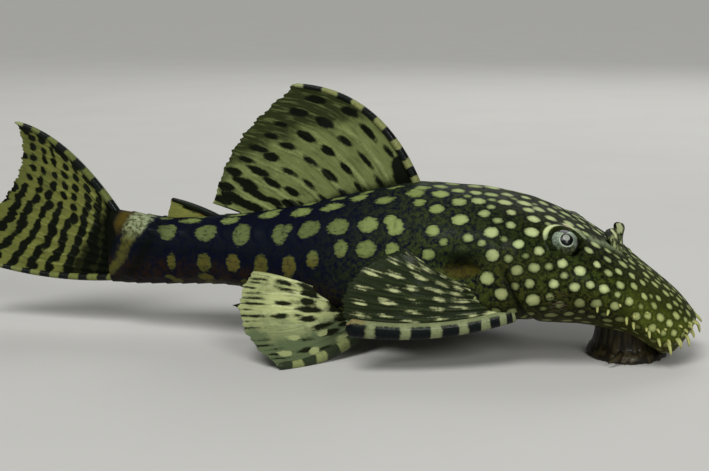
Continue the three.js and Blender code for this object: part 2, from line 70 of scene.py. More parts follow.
def smooth(low: float, high: float, value: Array) -> Array:
    """A smooth step from 0 at low to 1 at high."""
    share = np.clip((value - low) / (high - low), 0, 1)
    return share * share * (3 - 2 * share)


def bell(distance: Array, width: float) -> Array:
    """A bell that is 1 at distance 0 and falls away within about two widths."""
    return np.exp(-((distance / width) ** 2))


def unit(vectors: Array) -> Array:
    """The vectors at length 1."""
    size = np.linalg.norm(vectors, axis=-1, keepdims=True)
    return vectors / np.maximum(size, 1e-9)


def vec(x: float, y: float, z: float) -> Array:
    """A point or direction as an array."""
    return np.array([x, y, z], float)


def mix(start: Array, end: Array, share: Array) -> Array:
    """The values between start and end, for a share per point."""
    share = np.asarray(share, float)[..., None]
    return start + (end - start) * share


class SmoothLine:
    """A smooth line through stations of (share, value) that never overshoots them."""

    def __init__(self, *stations: tuple[float, float]) -> None:
        """Works out the slopes at the stations.

        Args:
            stations: pairs of share and value, in order.
        """
        self.at, self.values = np.array(stations, float).T
        rise = np.diff(self.values) / np.diff(self.at)
        before, after = rise[:-1], rise[1:]
        total = np.where(before * after > 0, before + after, 1)
        inner = np.where(before * after > 0, 2 * before * after / total, 0)
        self.slopes = np.concatenate([rise[:1], inner, rise[-1:]])

    def __call__(self, share: Union[float, Array]) -> Array:
        """The line's value at each share.

        Args:
            share: one share or an array of them.

        Returns:
            The values.
        """
        share = np.asarray(share, float)
        i = np.clip(np.searchsorted(self.at, share, side="right") - 1, 0, len(self.at) - 2)
        width = self.at[i + 1] - self.at[i]
        t = np.clip((share - self.at[i]) / width, 0, 1)
        start = (2 * t**3 - 3 * t**2 + 1) * self.values[i]
        end = (3 * t**2 - 2 * t**3) * self.values[i + 1]
        leaving = (t**3 - 2 * t**2 + t) * width * self.slopes[i]
        coming = (t**3 - t**2) * width * self.slopes[i + 1]
        return start + end + leaving + coming


@dataclass(frozen=True)
class BodyForm:
    """The smooth body under plates and skin: lines along the fish, as shares of its standard length."""

    length: float = 118.0
    snout_x: float = 58.0
    top: SmoothLine = SmoothLine(
        (0, 0.066), (0.009, 0.079), (0.035, 0.108), (0.084, 0.146), (0.151, 0.194), (0.2, 0.223),
        (0.28, 0.254), (0.374, 0.2695), (0.44, 0.273), (0.56, 0.252), (0.67, 0.225), (0.8, 0.205),
        (0.9, 0.198), (0.96, 0.204), (1, 0.211),
    )
    belly: SmoothLine = SmoothLine(
        (0, 0.066), (0.009, 0.048), (0.022, 0.028), (0.038, 0.012), (0.052, 0.01), (0.07, 0.019),
        (0.1, 0.034), (0.14, 0.044), (0.2, 0.053), (0.3, 0.058), (0.45, 0.043), (0.55, 0.044),
        (0.66, 0.062), (0.79, 0.0885), (0.9, 0.084), (1, 0.0805),
    )
    half_width: SmoothLine = SmoothLine(
        (0, 0), (0.009, 0.045), (0.025, 0.074), (0.05, 0.097), (0.085, 0.116), (0.135, 0.132),
        (0.19, 0.143), (0.25, 0.151), (0.32, 0.154), (0.39, 0.149), (0.466, 0.134), (0.56, 0.113),
        (0.645, 0.094), (0.73, 0.077), (0.81, 0.063), (0.9, 0.051), (0.955, 0.042), (1, 0.025),
    )
    side: SmoothLine = SmoothLine(
        (0, 0.066), (0.02, 0.06), (0.045, 0.051), (0.075, 0.071), (0.11, 0.1), (0.18, 0.116),
        (0.25, 0.116), (0.45, 0.108), (0.6, 0.121), (0.8, 0.141), (1, 0.145),
    )
    upper_fullness: SmoothLine = SmoothLine((0, 2.1), (0.2, 2.25), (0.45, 1.9), (0.7, 2), (1, 2.4))
    lower_fullness: SmoothLine = SmoothLine(
        (0, 2.2), (0.06, 2.1), (0.12, 1.75), (0.22, 1.75), (0.32, 2.2), (0.5, 2.6), (0.75, 2.2), (1, 2.4)
    )

    def point(self, share: Array, turn: Array) -> Array:
        """Points of the body.

        Args:
            share: how far behind the snout tip, as a share of the standard length.
            turn: degrees from the middle of the back, up to 180 at the belly; below 0 is the right side.

        Returns:
            An array of points in millimetres.
        """
        share, turn = np.broadcast_arrays(np.asarray(share, float), np.asarray(turn, float))
        upper = np.abs(turn) <= 90
        power = 2 / np.where(upper, self.upper_fullness(share), self.lower_fullness(share))
        angle = np.radians(np.abs(turn))
        across = np.abs(np.sin(angle)) ** power
        upward = np.abs(np.cos(angle)) ** power
        middle = self.side(share) * self.length
        above = middle + (self.top(share) * self.length - middle) * upward
        below = middle - (middle - self.belly(share) * self.length) * upward
        y = np.sign(turn) * self.half_width(share) * self.length * across
        return np.stack([self.x_at(share), y, np.where(upper, above, below)], axis=-1)

    def normal(self, share: float, turn: float) -> Array:
        """The outward direction at one place of the body.

        Args:
            share: how far behind the snout tip, as a share of the standard length.
            turn: degrees from the middle of the back.

        Returns:
            A direction of length 1.
        """
        step = 0.01
        along = self.point(share + step, turn) - self.point(max(share - step, 0.001), turn)
        around = self.point(share, turn + 2) - self.point(share, turn - 2)
        normal = unit(np.cross(along, around))
        middle = vec(float(self.x_at(share)), 0, float(self.side(share)) * self.length)
        return normal if normal @ (self.point(share, turn) - middle) > 0 else -normal

    def x_at(self, share: Array) -> Array:
        """The x of a share of the length."""
        return self.snout_x - np.asarray(share, float) * self.length

    def back_at(self, x: Array) -> Array:
        """The height of the back at x."""
        return self.top((self.snout_x - x) / self.length) * self.length

    def belly_at(self, x: Array) -> Array:
        """The height of the belly at x."""
        return self.belly((self.snout_x - x) / self.length) * self.length


BODY = BodyForm()


class Side(IntEnum):
    """A side of the fish, as the sign of its y."""

    RIGHT = -1
    LEFT = 1

    @property
    def label(self) -> str:
        """The side's name in the names of pieces."""
        return self.name.lower()


# Meshes


def deselect() -> None:
    """Leaves nothing selected."""
    bpy.ops.object.select_all(action="DESELECT")


def to_row(points: Array) -> Array:
    """Points in metres in the row frame, from millimetres before the model is centred."""
    return (points + vec(SHIFT, 0, 0)) * MM


def mesh_points(mesh: bpy.types.Mesh) -> Array:
    """The places of a mesh's vertices.

    Args:
        mesh: the mesh.

    Returns:
        An array of vertices and three coordinates.
    """
    flat = np.zeros(len(mesh.vertices) * 3, np.float32)
    mesh.vertices.foreach_get("co", flat)
    return flat.reshape(-1, 3)


def shape_mesh(piece: Piece, points: Array, fields: dict[str, Array]) -> None:
    """Moves a new primitive's vertices to their places, then closes it and turns its faces outwards.

    Args:
        piece: the primitive, which is the active object.
        points: a place in millimetres for each vertex.
        fields: numbers per vertex that the finish reads, by attribute name.
    """
    mesh = piece.data
    mesh.vertices.foreach_set("co", to_row(points).astype(np.float32).ravel())
    for label, values in fields.items():
        attribute = mesh.attributes.new(label, "FLOAT", "POINT")
        attribute.data.foreach_set("value", values.astype(np.float32))
    mesh.update()
    bpy.ops.object.mode_set(mode="EDIT")
    bpy.ops.mesh.select_all(action="SELECT")
    bpy.ops.mesh.remove_doubles(threshold=CLOSE)
    bpy.ops.mesh.normals_make_consistent(inside=False)
    bpy.ops.object.mode_set(mode="OBJECT")
    bpy.ops.object.shade_smooth()


def grid_piece(name: str, points: Array, fields: dict[str, Array]) -> Piece:
    """A mesh from a grid that is laid over points, with its seams and poles closed.

    Args:
        name: the piece's name.
        points: an array of rows, columns and three coordinates, in millimetres.
        fields: numbers per point that the finish reads, by attribute name.

    Returns:
        The new object, smooth and with its faces outwards.
    """
    deselect()
    rows, columns = points.shape[:2]
    bpy.ops.mesh.primitive_grid_add(x_subdivisions=columns - 1, y_subdivisions=rows - 1, size=2)
    piece = bpy.context.object
    piece.name = name
    piece.data.name = name
    flat = mesh_points(piece.data)
    row = np.rint((flat[:, 1] + 1) / 2 * (rows - 1)).astype(int)
    column = np.rint((flat[:, 0] + 1) / 2 * (columns - 1)).astype(int)
    shape_mesh(piece, points[row, column], {label: values[row, column] for label, values in fields.items()})
    return piece


def rod_rings(line: Array, wide: Array, thick: Array, across: Array, sides: int) -> Array:
    """Rings of an oval rod along a line, with a point at each end.

    Args:
        line: the points of its middle line.
        wide: half widths along across, one per point.
        thick: half widths the other way.
        across: the direction that the width lies along.
        sides: corners of a ring.

    Returns:
        A grid of rings, with the seam column twice.
    """
    tangent = unit(np.gradient(line, axis=0))
    flat = unit(across - np.sum(across * tangent, axis=-1, keepdims=True) * tangent)
    deep = np.cross(tangent, flat)
    turn = np.linspace(0, 2 * np.pi, sides + 1)
    rings = (
        line[:, None]
        + flat[:, None] * (wide[:, None] * np.cos(turn))[..., None]
        + deep[:, None] * (thick[:, None] * np.sin(turn))[..., None]
    )
    first = np.repeat(line[:1, None], sides + 1, axis=1)
    last = np.repeat(line[-1:, None], sides + 1, axis=1)
    return np.concatenate([first, rings, last])


def along_rings(count: int, sides: int) -> Array:
    """The share along a rod at each point of rod_rings."""
    share = np.concatenate([[0], np.linspace(0, 1, count), [1]])
    return np.repeat(share[:, None], sides + 1, axis=1)


def joined(name: str, pieces: Sequence[Piece]) -> Piece:
    """Several pieces as one.

    Args:
        name: the whole's name.
        pieces: the pieces, of which the first takes in the others.

    Returns:
        The whole.
    """
    deselect()
    for piece in pieces:
        piece.select_set(True)
    bpy.context.view_layer.objects.active = pieces[0]
    bpy.ops.object.join()
    whole = bpy.context.object
    whole.name = name
    whole.data.name = name
    return whole


def settle(piece: Piece, material: Material, slot: str, *nodes: str) -> Piece:
    """Dresses a finished piece and ties it to the frame.

    Args:
        piece: the finished piece.
        material: its material.
        slot: the record's material slot, which is not used.
        nodes: the solids that it stands for.

    Returns:
        The piece.
    """
    piece.data.materials.clear()
    piece.data.materials.append(material)
    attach(piece, "root")
    if nodes:
        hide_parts(*nodes)
    return piece


# Shader nodes


class Wire:
    """A shader socket that takes part in arithmetic."""

    def __init__(self, paint: "Paint", socket: bpy.types.NodeSocket) -> None:
        """Keeps the socket and the paint it belongs to."""
        self.paint = paint
        self.socket = socket

    def _maths(self, operation: str, first: "Value", second: "Value" = 0.0) -> "Wire":
        """Adds one node of arithmetic."""
        return self.paint.node("ShaderNodeMath", {"operation": operation}, {0: first, 1: second})

    def __add__(self, other: "Value") -> "Wire":
        """Adds a value."""
        return self._maths("ADD", self, other)

    __radd__ = __add__

    def __mul__(self, other: "Value") -> "Wire":
        """Multiplies by a value."""
        return self._maths("MULTIPLY", self, other)

    __rmul__ = __mul__

    def __sub__(self, other: "Value") -> "Wire":
        """Takes a value away."""
        return self._maths("SUBTRACT", self, other)

    def __rsub__(self, other: "Value") -> "Wire":
        """Is taken away from a value."""
        return self._maths("SUBTRACT", other, self)

    def __pow__(self, other: "Value") -> "Wire":
        """Raises to a power."""
        return self._maths("POWER", self, other)

    def larger(self, other: "Value") -> "Wire":
        """The larger of the two."""
        return self._maths("MAXIMUM", self, other)

    def size(self) -> "Wire":
        """The value without its sign."""
        return self._maths("ABSOLUTE", self)

    def wave(self) -> "Wire":
        """The sine of the value."""
        return self._maths("SINE", self)

    def step(self, low: float, high: float) -> "Wire":
        """A smooth step.

        Args:
            low: the value where it is 0, which may be the larger one.
            high: the value where it is 1.

        Returns:
            The step as a wire.
        """
        ends = {"From Min": min(low, high), "From Max": max(low, high)}
        to = {"To Min": 0.0, "To Max": 1.0} if low < high else {"To Min": 1.0, "To Max": 0.0}
        return self.paint.node(
            "ShaderNodeMapRange", {"interpolation_type": "SMOOTHSTEP"}, {"Value": self, **ends, **to}
        )


Value = Union[Wire, float]
Tint = Union[Wire, int]


def shade(code: int) -> tuple[float, ...]:
    """The shader's colour for a screen colour that is written as a hexadecimal number."""
    parts = [(code >> move & 255) / 255 for move in (16, 8, 0)]
    return *(c / 12.92 if c <= 0.04045 else ((c + 0.055) / 1.055) ** 2.4 for c in parts), 1.0


GREEN_SHEEN = (0.75, 1.0, 0.55, 1.0)


class Paint:
    """A material's nodes, with one method that adds any node."""

    def __init__(self, name: str, **constants: Union[float, tuple]) -> None:
        """Starts a material.

        Args:
            name: the material's name.
            constants: fixed values of the shader's own sockets.
        """
        self.material = bpy.data.materials.new(name)
        self.material.use_nodes = True
        self.tree = self.material.node_tree
        self.shader = self.tree.nodes["Principled BSDF"]
        for label, value in constants.items():
            self.shader.inputs[label.replace("_", " ")].default_value = value

    def put(self, socket: bpy.types.NodeSocket, value: Union[Value, Tint]) -> None:
        """Links a wire to a socket, or sets its value.

        Args:
            socket: the socket to feed.
            value: a wire, a number or a screen colour.
        """
        if isinstance(value, Wire):
            self.tree.links.new(value.socket, socket)
        elif socket.type == "RGBA":
            socket.default_value = shade(value)
        else:
            socket.default_value = value

    def node(self, kind: str, settings: dict, inputs: dict, output: Union[str, int] = 0) -> Wire:
        """Adds a node.

        Args:
            kind: the node's type.
            settings: its properties, set before its sockets.
            inputs: values or wires, by socket name or number.
            output: the socket that is handed back.

        Returns:
            The output as a wire.
        """
        made = self.tree.nodes.new(kind)
        for label, value in settings.items():
            setattr(made, label, value)
        for label, value in inputs.items():
            self.put(made.inputs[label], value)
        return Wire(self, made.outputs[output])

    def field(self, name: str) -> Wire:
        """A number per point of the mesh."""
        return self.node("ShaderNodeAttribute", {"attribute_name": name}, {}, "Fac")

    def place(self, stretch: tuple[float, float, float] = (1, 1, 1)) -> Wire:
        """The place on the piece in millimetres.

        Args:
            stretch: factors that draw a pattern out below 1 and press it together above.

        Returns:
            The place as a wire.
        """
        here = self.node("ShaderNodeTexCoord", {}, {}, "Object")
        scale = tuple(s / MM for s in stretch)
        return self.node("ShaderNodeVectorMath", {"operation": "MULTIPLY"}, {0: here, 1: scale})

    def grain(self, size: float, detail: float = 2.0, where: "Wire | None" = None) -> Wire:
        """Cloudy noise around 0.5.

        Args:
            size: about how large its features are, in millimetres.
            detail: how many finer layers it has.
            where: the place it is read at.

        Returns:
            The noise as a wire.
        """
        where = where or self.place()
        sockets = {"Vector": where, "Scale": 1 / size, "Detail": detail, "Roughness": 0.55}
        return self.node("ShaderNodeTexNoise", {}, sockets, "Fac")

    def cells(self, size: float, where: "Wire | None" = None) -> Wire:
        """Distances from the nearest point of a scattered pattern."""
        sockets = {"Vector": where or self.place(), "Scale": 1 / size}
        return self.node("ShaderNodeTexVoronoi", {}, sockets, "Distance")

    def blend(self, first: Tint, second: Tint, share: Value) -> Wire:
        """A colour between two."""
        return self.node("ShaderNodeMix", {"data_type": "RGBA"}, {0: share, 6: first, 7: second}, 2)

    def bump(self, height: Value, depth: float, strength: float = 1.0, under: "Wire | None" = None) -> Wire:
        """A normal from a height.

        Args:
            height: the height from 0 to 1.
            depth: the full height in millimetres.
            strength: how much of it is used.
            under: the coarser normal that it lies on.

        Returns:
            The normal as a wire.
        """
        sockets = {"Height": height, "Distance": depth * MM, "Strength": strength}
        if under:
            sockets["Normal"] = under
        return self.node("ShaderNodeBump", {}, sockets)

    def finish(self, **sockets: Union[Value, Tint]) -> Material:
        """Feeds the shader's own sockets.

        Args:
            sockets: values, wires or colours by socket name.

        Returns:
            The material.
        """
        for label, value in sockets.items():
            self.put(self.shader.inputs[label.replace("_", " ")], value)
        return self.material


# Markings


@dataclass(frozen=True)
class Mark:
    """One spot or dash: where its middle is, its half length along the fish or ray, and its half width."""

    along: float
    around: float
    half_length: float
    half_width: float
    tone: float


# Finishes


@dataclass(frozen=True)
class SkinFinish:
    """Wet, armoured skin: a black and olive ground under pale round spots."""

    black: int = 0x050704
    # painted blue cast of the light over the black ground of the trunk
    navy: int = 0x04061C
    snout: int = 0x545D1F
    olive: int = 0x3D481A
    rear_olive: int = 0x0D1009
    warm: int = 0x2A1608
    snout_spot: int = 0xB9C07C
    head_spot: int = 0xC0CC92
    trunk_spot: int = 0x93A260
    rear_spot: int = 0x5F6A40
    low_spot: int = 0x54491C
    bare: int = 0x7A8463
    pink: int = 0xA08E7C
    cream: int = 0xBFCB90
    rust: int = 0x4A3E12
    band_top: int = 0x8E9874
    band_low: int = 0x4E4D22
    belly: int = 0x5A563E

    def make(self) -> Material:
        """Builds the finish's nodes.

        Returns:
            The material.
        """
        paint = Paint(
            "wet_spotted_skin", Coat_Roughness=0.16, Specular_IOR_Level=0.06, Specular_Tint=GREEN_SHEEN
        )
        rear = paint.field("rear")
        warm = paint.field("warm")
        trunk = paint.field("trunk")
        snout = paint.field("snout")
        mottle = paint.grain(0.9, 5)
        even = (paint.grain(0.8, 3) - 0.5) * 0.5 + (paint.grain(0.25, 2) - 0.5) * 0.25
        brushed = (paint.grain(0.5, 3, paint.place((0.3, 1, 1))) - 0.5) * 1.2
        spot = paint.field("spot") + even + brushed * trunk
        specks = paint.cells(0.55, self._warped(paint)).step(0.62, 0.25)
        # the trunk's black ground takes on a painted blue cast of the light
        dark = paint.blend(self.black, self.navy, trunk)
        green = paint.blend(self.olive, self.rear_olive, rear)
        green = paint.blend(green, self.snout, snout)
        share = (mottle.step(0.36, 0.64) * 0.75 + specks * 0.4) * (1 - 0.35 * rear)
        ground = paint.blend(dark, green, share.larger(snout * 0.6))
        clear = paint.field("clear")
        # painted shade: the ground is darkened over the top of the head and back, most on the head
        ground = paint.blend(ground, dark, clear * (0.6 - 0.25 * trunk))
        ground = paint.blend(ground, self.warm, warm * mottle.step(0.3, 0.7) * 0.75)
        ring = spot.step(-0.6, -0.1) * (0.8 - 0.4 * snout)
        ground = paint.blend(ground, dark, ring)
        ground = paint.blend(ground, self.bare, paint.field("bare") * mottle.step(0.2, 0.55) * 0.9)
        ground = paint.blend(ground, self.belly, paint.field("under") * mottle.step(0.25, 0.8) * 0.7)
        pale = paint.blend(self.head_spot, self.trunk_spot, trunk)
        pale = paint.blend(pale, self.snout_spot, snout)
        pale = paint.blend(pale, self.rear_spot, rear * paint.field("flank"))
        pale = paint.blend(pale, self.low_spot, paint.field("low") * 0.85)
        pale = paint.blend(pale, self.olive, paint.field("tone") * 0.35 + spot.step(0.7, 0.0) * 0.4)
        # painted shade: the spots are dulled a little over the top of the head and back
        pale = paint.blend(pale, self.olive, clear * 0.14)
        brush = paint.grain(0.35, 3, paint.place((0.35, 1, 1)))
        pale = paint.blend(pale, dark, brush.step(0.5, 0.75) * (0.15 + 0.6 * rear))
        colour = paint.blend(ground, pale, spot.step(-0.16, 0.24))
        colour = paint.blend(colour, self.rust, paint.field("rust") * mottle.step(0.15, 0.5))
        wavy = paint.field("band") + even * 2.0 + (mottle - 0.5) * 1.5
        band = paint.blend(self.band_low, self.band_top, clear * mottle.step(0.3, 0.6))
        cover = wavy.step(-0.7, 0.9) * (0.6 + 0.4 * mottle.step(0.3, 0.6))
        colour = paint.blend(colour, band, cover)
        arc = paint.blend(self.cream, self.bare, paint.field("faded"))
        colour = paint.blend(colour, arc, (paint.field("cream") + even * 0.4).step(-0.18, 0.2))
        colour = paint.blend(colour, self.pink, paint.field("pink") * mottle.step(0.2, 0.5))
        # painted shade: black darkens the nostrils, the pit's upper edge and the gill groove; rim is the dark
        # before the tail band and at the tail fin's root
        colour = paint.blend(colour, self.black, paint.field("black") + paint.field("rim"))
        colour = paint.blend(colour, dark, paint.field("seam") * 0.4)
        return paint.finish(
            Base_Color=colour,
            Roughness=0.5 + 0.2 * mottle,
            Coat_Weight=0.05 * paint.grain(3, 2).step(0.4, 0.7),
            Normal=self._relief(paint),
        )

    def _warped(self, paint: Paint) -> Wire:
        """The place on the skin, pushed about so that the dark net isn't made of straight lines.

        Args:
            paint: the skin's nodes.

        Returns:
            The place as a wire.
        """
        push = paint.node("ShaderNodeTexNoise", {}, {"Vector": paint.place(), "Scale": 0.8}, "Color")
        scaled = paint.node("ShaderNodeVectorMath", {"operation": "SCALE"}, {0: push, "Scale": 1.8})
        return paint.node("ShaderNodeVectorMath", {"operation": "ADD"}, {0: paint.place(), 1: scaled})

    def _relief(self, paint: Paint) -> Wire:
        """Tiny skin teeth over a fine leathery grain.

        Args:
            paint: the skin's nodes.

        Returns:
            The normal as a wire.
        """
        teeth = 1 - paint.cells(0.42).step(0.0, 0.5)
        leather = paint.grain(0.9, 4)
        return paint.bump(teeth, 0.07, 0.5, paint.bump(leather, 0.16, 0.6))


class Pattern(Enum):
    """Whether a fin's marks are darker or paler than its ground."""

    DARK_MARKS = "dark"
    PALE_MARKS = "pale"


@dataclass(frozen=True)
class FinFinish:
    """A fin's membrane and rays, with rows of marks."""

    name: str
    ground: int = 0x687142
    ray: int = 0x88915C
    marks: int = 0x040503
    blob: int = 0x8F9666
    tip: int = 0x1C220D
    tip_from: float = 0.62
    tip_full: float = 0.92
    tip_share: float = 0.92
    tip_slant: float = 0.0
    root: int = 0x1C200C
    root_until: float = 0.12
    root_slant: float = 0.0
    cloud: float = 0.25
    streaks: float = 0.0
    lead: int = 0x79824E
    lead_until: float = 0.0
    pattern: Pattern = Pattern.DARK_MARKS

    def make(self) -> Material:
        """Builds the finish's nodes.

        Returns:
            The material.
        """
        paint = Paint(self.name, Coat_Roughness=0.16, Specular_IOR_Level=0.12, Specular_Tint=GREEN_SHEEN)
        v = paint.field("along")
        ridge = paint.field("ridge")
        drawn = self._drawn_out(paint, 22, 5) - 0.5
        wobble = (paint.grain(0.9, 3) - 0.5) * 0.5 + (paint.grain(0.22, 2) - 0.5) * 0.3
        mark = paint.field("mark") + wobble + drawn * 1.1
        cloud = paint.grain(3.5, 4)
        fine = paint.grain(0.5, 3)
        hairlines = self._drawn_out(paint, 60, 7).step(0.5, 0.66)
        rays = ridge.step(0.2, 0.9) * fine.step(0.2, 0.7)
        ground = paint.blend(self.ground, self.ray, rays * 0.6 + hairlines * 0.3)
        ground = paint.blend(ground, self.tip, self._drawn_out(paint, 40, 6).step(0.5, 0.7) * 0.35)
        foot = v - paint.field("across") * self.root_slant + drawn * 0.12
        foot = foot.step(self.root_until, self.root_until * 0.4)
        ground = paint.blend(ground, self.root, foot * 0.95)
        ground = paint.blend(ground, self.tip, cloud.step(0.45, 0.8) * self.cloud)
        outer = v + (cloud - 0.5) * 0.3 - paint.field("across") * self.tip_slant
        dusk = outer.step(self.tip_from, self.tip_full) * self.tip_share
        dusk = dusk * (1 - self.streaks * hairlines)
        ground = paint.blend(ground, self.tip, dusk)
        if self.lead_until:
            edge = self.lead_until
            front = (paint.field("across") + (cloud - 0.5) * edge * 1.5).step(edge * 1.35, edge * 0.65)
            ground = paint.blend(ground, self.lead, front * v.step(0.02, 0.1))
        cover = 1.0 if self.pattern is Pattern.DARK_MARKS else 0.85
        marks = paint.blend(self.marks, self.blob, paint.field("tone").step(1.2, 1.6))
        colour = paint.blend(ground, marks, mark.step(-0.2, 0.25) * cover)
        segment = (v * 260.0).wave() * 0.5 + 0.5
        relief = paint.bump(segment * ridge, 0.05, 0.5, paint.bump(fine, 0.08, 0.6))
        return paint.finish(
            Base_Color=colour,
            Roughness=0.45 + 0.2 * fine + 0.35 * foot,
            Coat_Weight=0.12 * cloud.step(0.4, 0.7) * (1 - foot),
            Normal=relief,
        )

    def _drawn_out(self, paint: Paint, across: float, along: float) -> Wire:
        """Noise that is drawn out along the rays.

        Args:
            paint: the fin's nodes.
            across: features across the fin.
            along: features along it.

        Returns:
            The noise as a wire.
        """
        place = {"X": paint.field("across") * across, "Y": paint.field("along") * along}
        where = paint.node("ShaderNodeCombineXYZ", {}, place)
        sockets = {"Vector": where, "Scale": 1.0, "Detail": 3.0}
        return paint.node("ShaderNodeTexNoise", {}, sockets, "Fac")


@dataclass(frozen=True)
class SpineFinish:
    """A stout spine, banded cream and black and set with small thorns; on the pectoral spine the dark bands
    leave its top pale, a painted highlight.
    """

    name: str
    dark: int = 0x0A0C10
    cream: int = 0x8E9468
    bands: float = 5.0
    dark_share: float = 0.55
    shift: float = 0.0
    # how much of the spine's top is kept pale, a painted highlight along it
    strip: float = 0.0
    dark_top: float = 0.0
    bunch: float = 1.0
    root_share: float = -1.0
    tip: int = 0x8E9468

    def make(self) -> Material:
        """Builds the finish's nodes.

        Returns:
            The material.
        """
        paint = Paint(self.name, Coat_Roughness=0.14, Specular_IOR_Level=0.12, Specular_Tint=GREEN_SHEEN)
        v = paint.field("along")
        upper = paint.field("upper")
        fine = paint.grain(0.45, 3)
        phase = v**self.bunch * (self.bands * 2 * math.pi) + (paint.grain(2.2, 3) - 0.5) * 1.8 + self.shift
        limit = math.cos(math.pi * self.dark_share)
        first = limit if self.root_share < 0 else math.cos(math.pi * self.root_share)
        dark = (phase.wave() + v * (first - limit)).step(first - 0.25, first + 0.3)
        # painted highlight: the dark bands are taken off the spine's upper side, leaving a pale line along
        # its top
        dark = dark * (1 - self.strip * (upper + (fine - 0.5) * 0.5).step(0.5, 0.8))
        dark = dark.larger(self.dark_top * upper.step(0.1, 0.5))
        cream = paint.blend(self.cream, self.tip, v.step(0.86, 0.94))
        cream = paint.blend(cream, self.dark, fine.step(0.45, 0.85) * 0.5)
        colour = paint.blend(cream, self.dark, dark)
        thorns = 1 - paint.cells(0.55).step(0.0, 0.45)
        return paint.finish(
            Base_Color=colour,
            Roughness=0.38 + 0.2 * fine,
            Coat_Weight=0.15 * fine.step(0.2, 0.7),
            Normal=paint.bump(thorns, 0.12, 0.6),
        )


@dataclass(frozen=True)
class FleshFinish:
    """Soft flesh, paler towards the tip of what it covers."""

    name: str
    root: int
    tip: int
    roughness: float = 0.4

    def make(self) -> Material:
        """Builds the finish's nodes.

        Returns:
            The material.
        """
        paint = Paint(self.name, Coat_Roughness=0.12, Specular_IOR_Level=0.15)
        fine = paint.grain(0.4, 3)
        colour = paint.blend(self.root, self.tip, paint.field("along").step(0.0, 0.7))
        colour = paint.blend(colour, self.root, fine.step(0.45, 0.8) * 0.5)
        return paint.finish(
            Base_Color=colour,
            Roughness=self.roughness + 0.2 * fine,
            Coat_Weight=0.12 * fine.step(0.2, 0.6),
            Normal=paint.bump(fine, 0.08, 0.6),
        )


@dataclass(frozen=True)
class FlapFinish:
    """A nostril flap: cream within a dark rim on its inner face, olive with a black top outside."""

    dark: int = 0x10150C
    cream: int = 0xB3B98A
    green: int = 0x4C5630
    streak: int = 0x9CA470

    def make(self) -> Material:
        """Builds the finish's nodes.

        Returns:
            The material.
        """
        paint = Paint("nostril_flap", Coat_Roughness=0.12, Specular_IOR_Level=0.2)
        fine = paint.grain(0.5, 3)
        edge = paint.field("edge") + (fine - 0.5) * 0.3
        v = paint.field("along") + (paint.grain(0.9, 2) - 0.5) * 0.2
        inner = paint.field("inner").step(-0.2, 0.2)
        drawn = paint.grain(0.4, 3, paint.place((1, 1, 0.25)))
        ground = paint.blend(self.green, self.dark, fine.step(0.35, 0.65))
        ground = paint.blend(ground, self.streak, drawn.step(0.5, 0.62) * v.step(0.85, 0.65))
        ground = paint.blend(ground, self.dark, v.step(0.72, 0.84) * 0.95)
        ground = paint.blend(ground, self.dark, edge.step(0.75, 1.0) * inner)
        middle = edge.step(0.85, 0.5) * v.step(0.5, 0.65) * inner
        return paint.finish(
            Base_Color=paint.blend(ground, self.cream, middle),
            Roughness=0.4 + 0.2 * fine,
            Coat_Weight=0.15 * fine,
            Normal=paint.bump(fine, 0.1, 0.6),
        )


@dataclass(frozen=True)
class EyeFinish:
    """A glossy eye: a black pupil with a milky lens spot that is partly a painted highlight, a thin pale
    ring, and a mottled silver iris with painted shadow under the brow and at the front.
    """

    pupil: int = 0x020304
    # the milky spot in the pupil, partly the lens's own grey and partly a painted highlight
    lens: int = 0xA3A69A
    pale_ring: int = 0xB4BFA8
    silver: int = 0x6B7768
    light: int = 0x9BAA93
    dusk: int = 0x0D100B
    olive: int = 0x3E4722
    pupil_edge: float = 23.5

    def make(self) -> Material:
        """Builds the finish's nodes.

        Returns:
            The material.
        """
        paint = Paint("eye", Coat_Weight=0.18, Coat_Roughness=0.08, Specular_IOR_Level=0.15)
        ring = paint.field("ring")
        ahead = paint.field("ahead")
        above = paint.field("above")
        fine = paint.grain(0.28, 4)
        cloud = paint.grain(0.9, 3)
        loose = cloud - 0.5
        edge = self.pupil_edge
        iris = paint.blend(self.silver, self.light, (above + loose * 2).step(0.0, 0.6))
        iris = paint.blend(iris, self.dusk, fine.step(0.42, 0.7) * 0.6)
        iris = paint.blend(iris, self.olive, (loose * 1.4 - above).step(0.15, 0.55) * 0.9)
        iris = paint.blend(iris, self.dusk, cloud.step(0.48, 0.62) * above.step(-0.1, -0.5) * 0.8)
        # painted shadow of the brow over the top of the iris
        brow_shadow = (above - ahead.size() * 0.7 + loose * 0.2).step(0.34, 0.46)
        iris = paint.blend(iris, self.dusk, brow_shadow)
        shadow = (ahead - above * 0.35 + loose * 0.5).step(0.62, 0.86)
        iris = paint.blend(iris, self.dusk, shadow)
        # more painted shadow over the top of the iris
        iris = paint.blend(iris, self.dusk, (above + loose * 0.3).step(0.66, 0.84))
        iris = paint.blend(iris, self.dusk, (ring + loose * 12).step(57, 66))
        thin = ring.step(edge + 6, edge + 2) * (above + ahead * 0.7).step(0.35, -0.1)
        iris = paint.blend(iris, self.pale_ring, thin * (0.55 + 0.45 * fine.step(0.35, 0.6)))
        # painted highlight: a milky grey spot in the pupil, a little above and behind its middle, where a
        # lamp's reflection sits
        lens = paint.field("lens").step(edge * 0.6, edge * 0.42) * (0.7 + 0.3 * fine.step(0.3, 0.6))
        pupil = paint.blend(self.pupil, self.lens, lens * 0.85)
        colour = paint.blend(iris, pupil, ring.step(edge + 1.0, edge - 1.0))
        relief = paint.bump(fine, 0.04, 0.5)
        return paint.finish(Base_Color=colour, Roughness=0.25 + 0.15 * fine, Normal=relief)


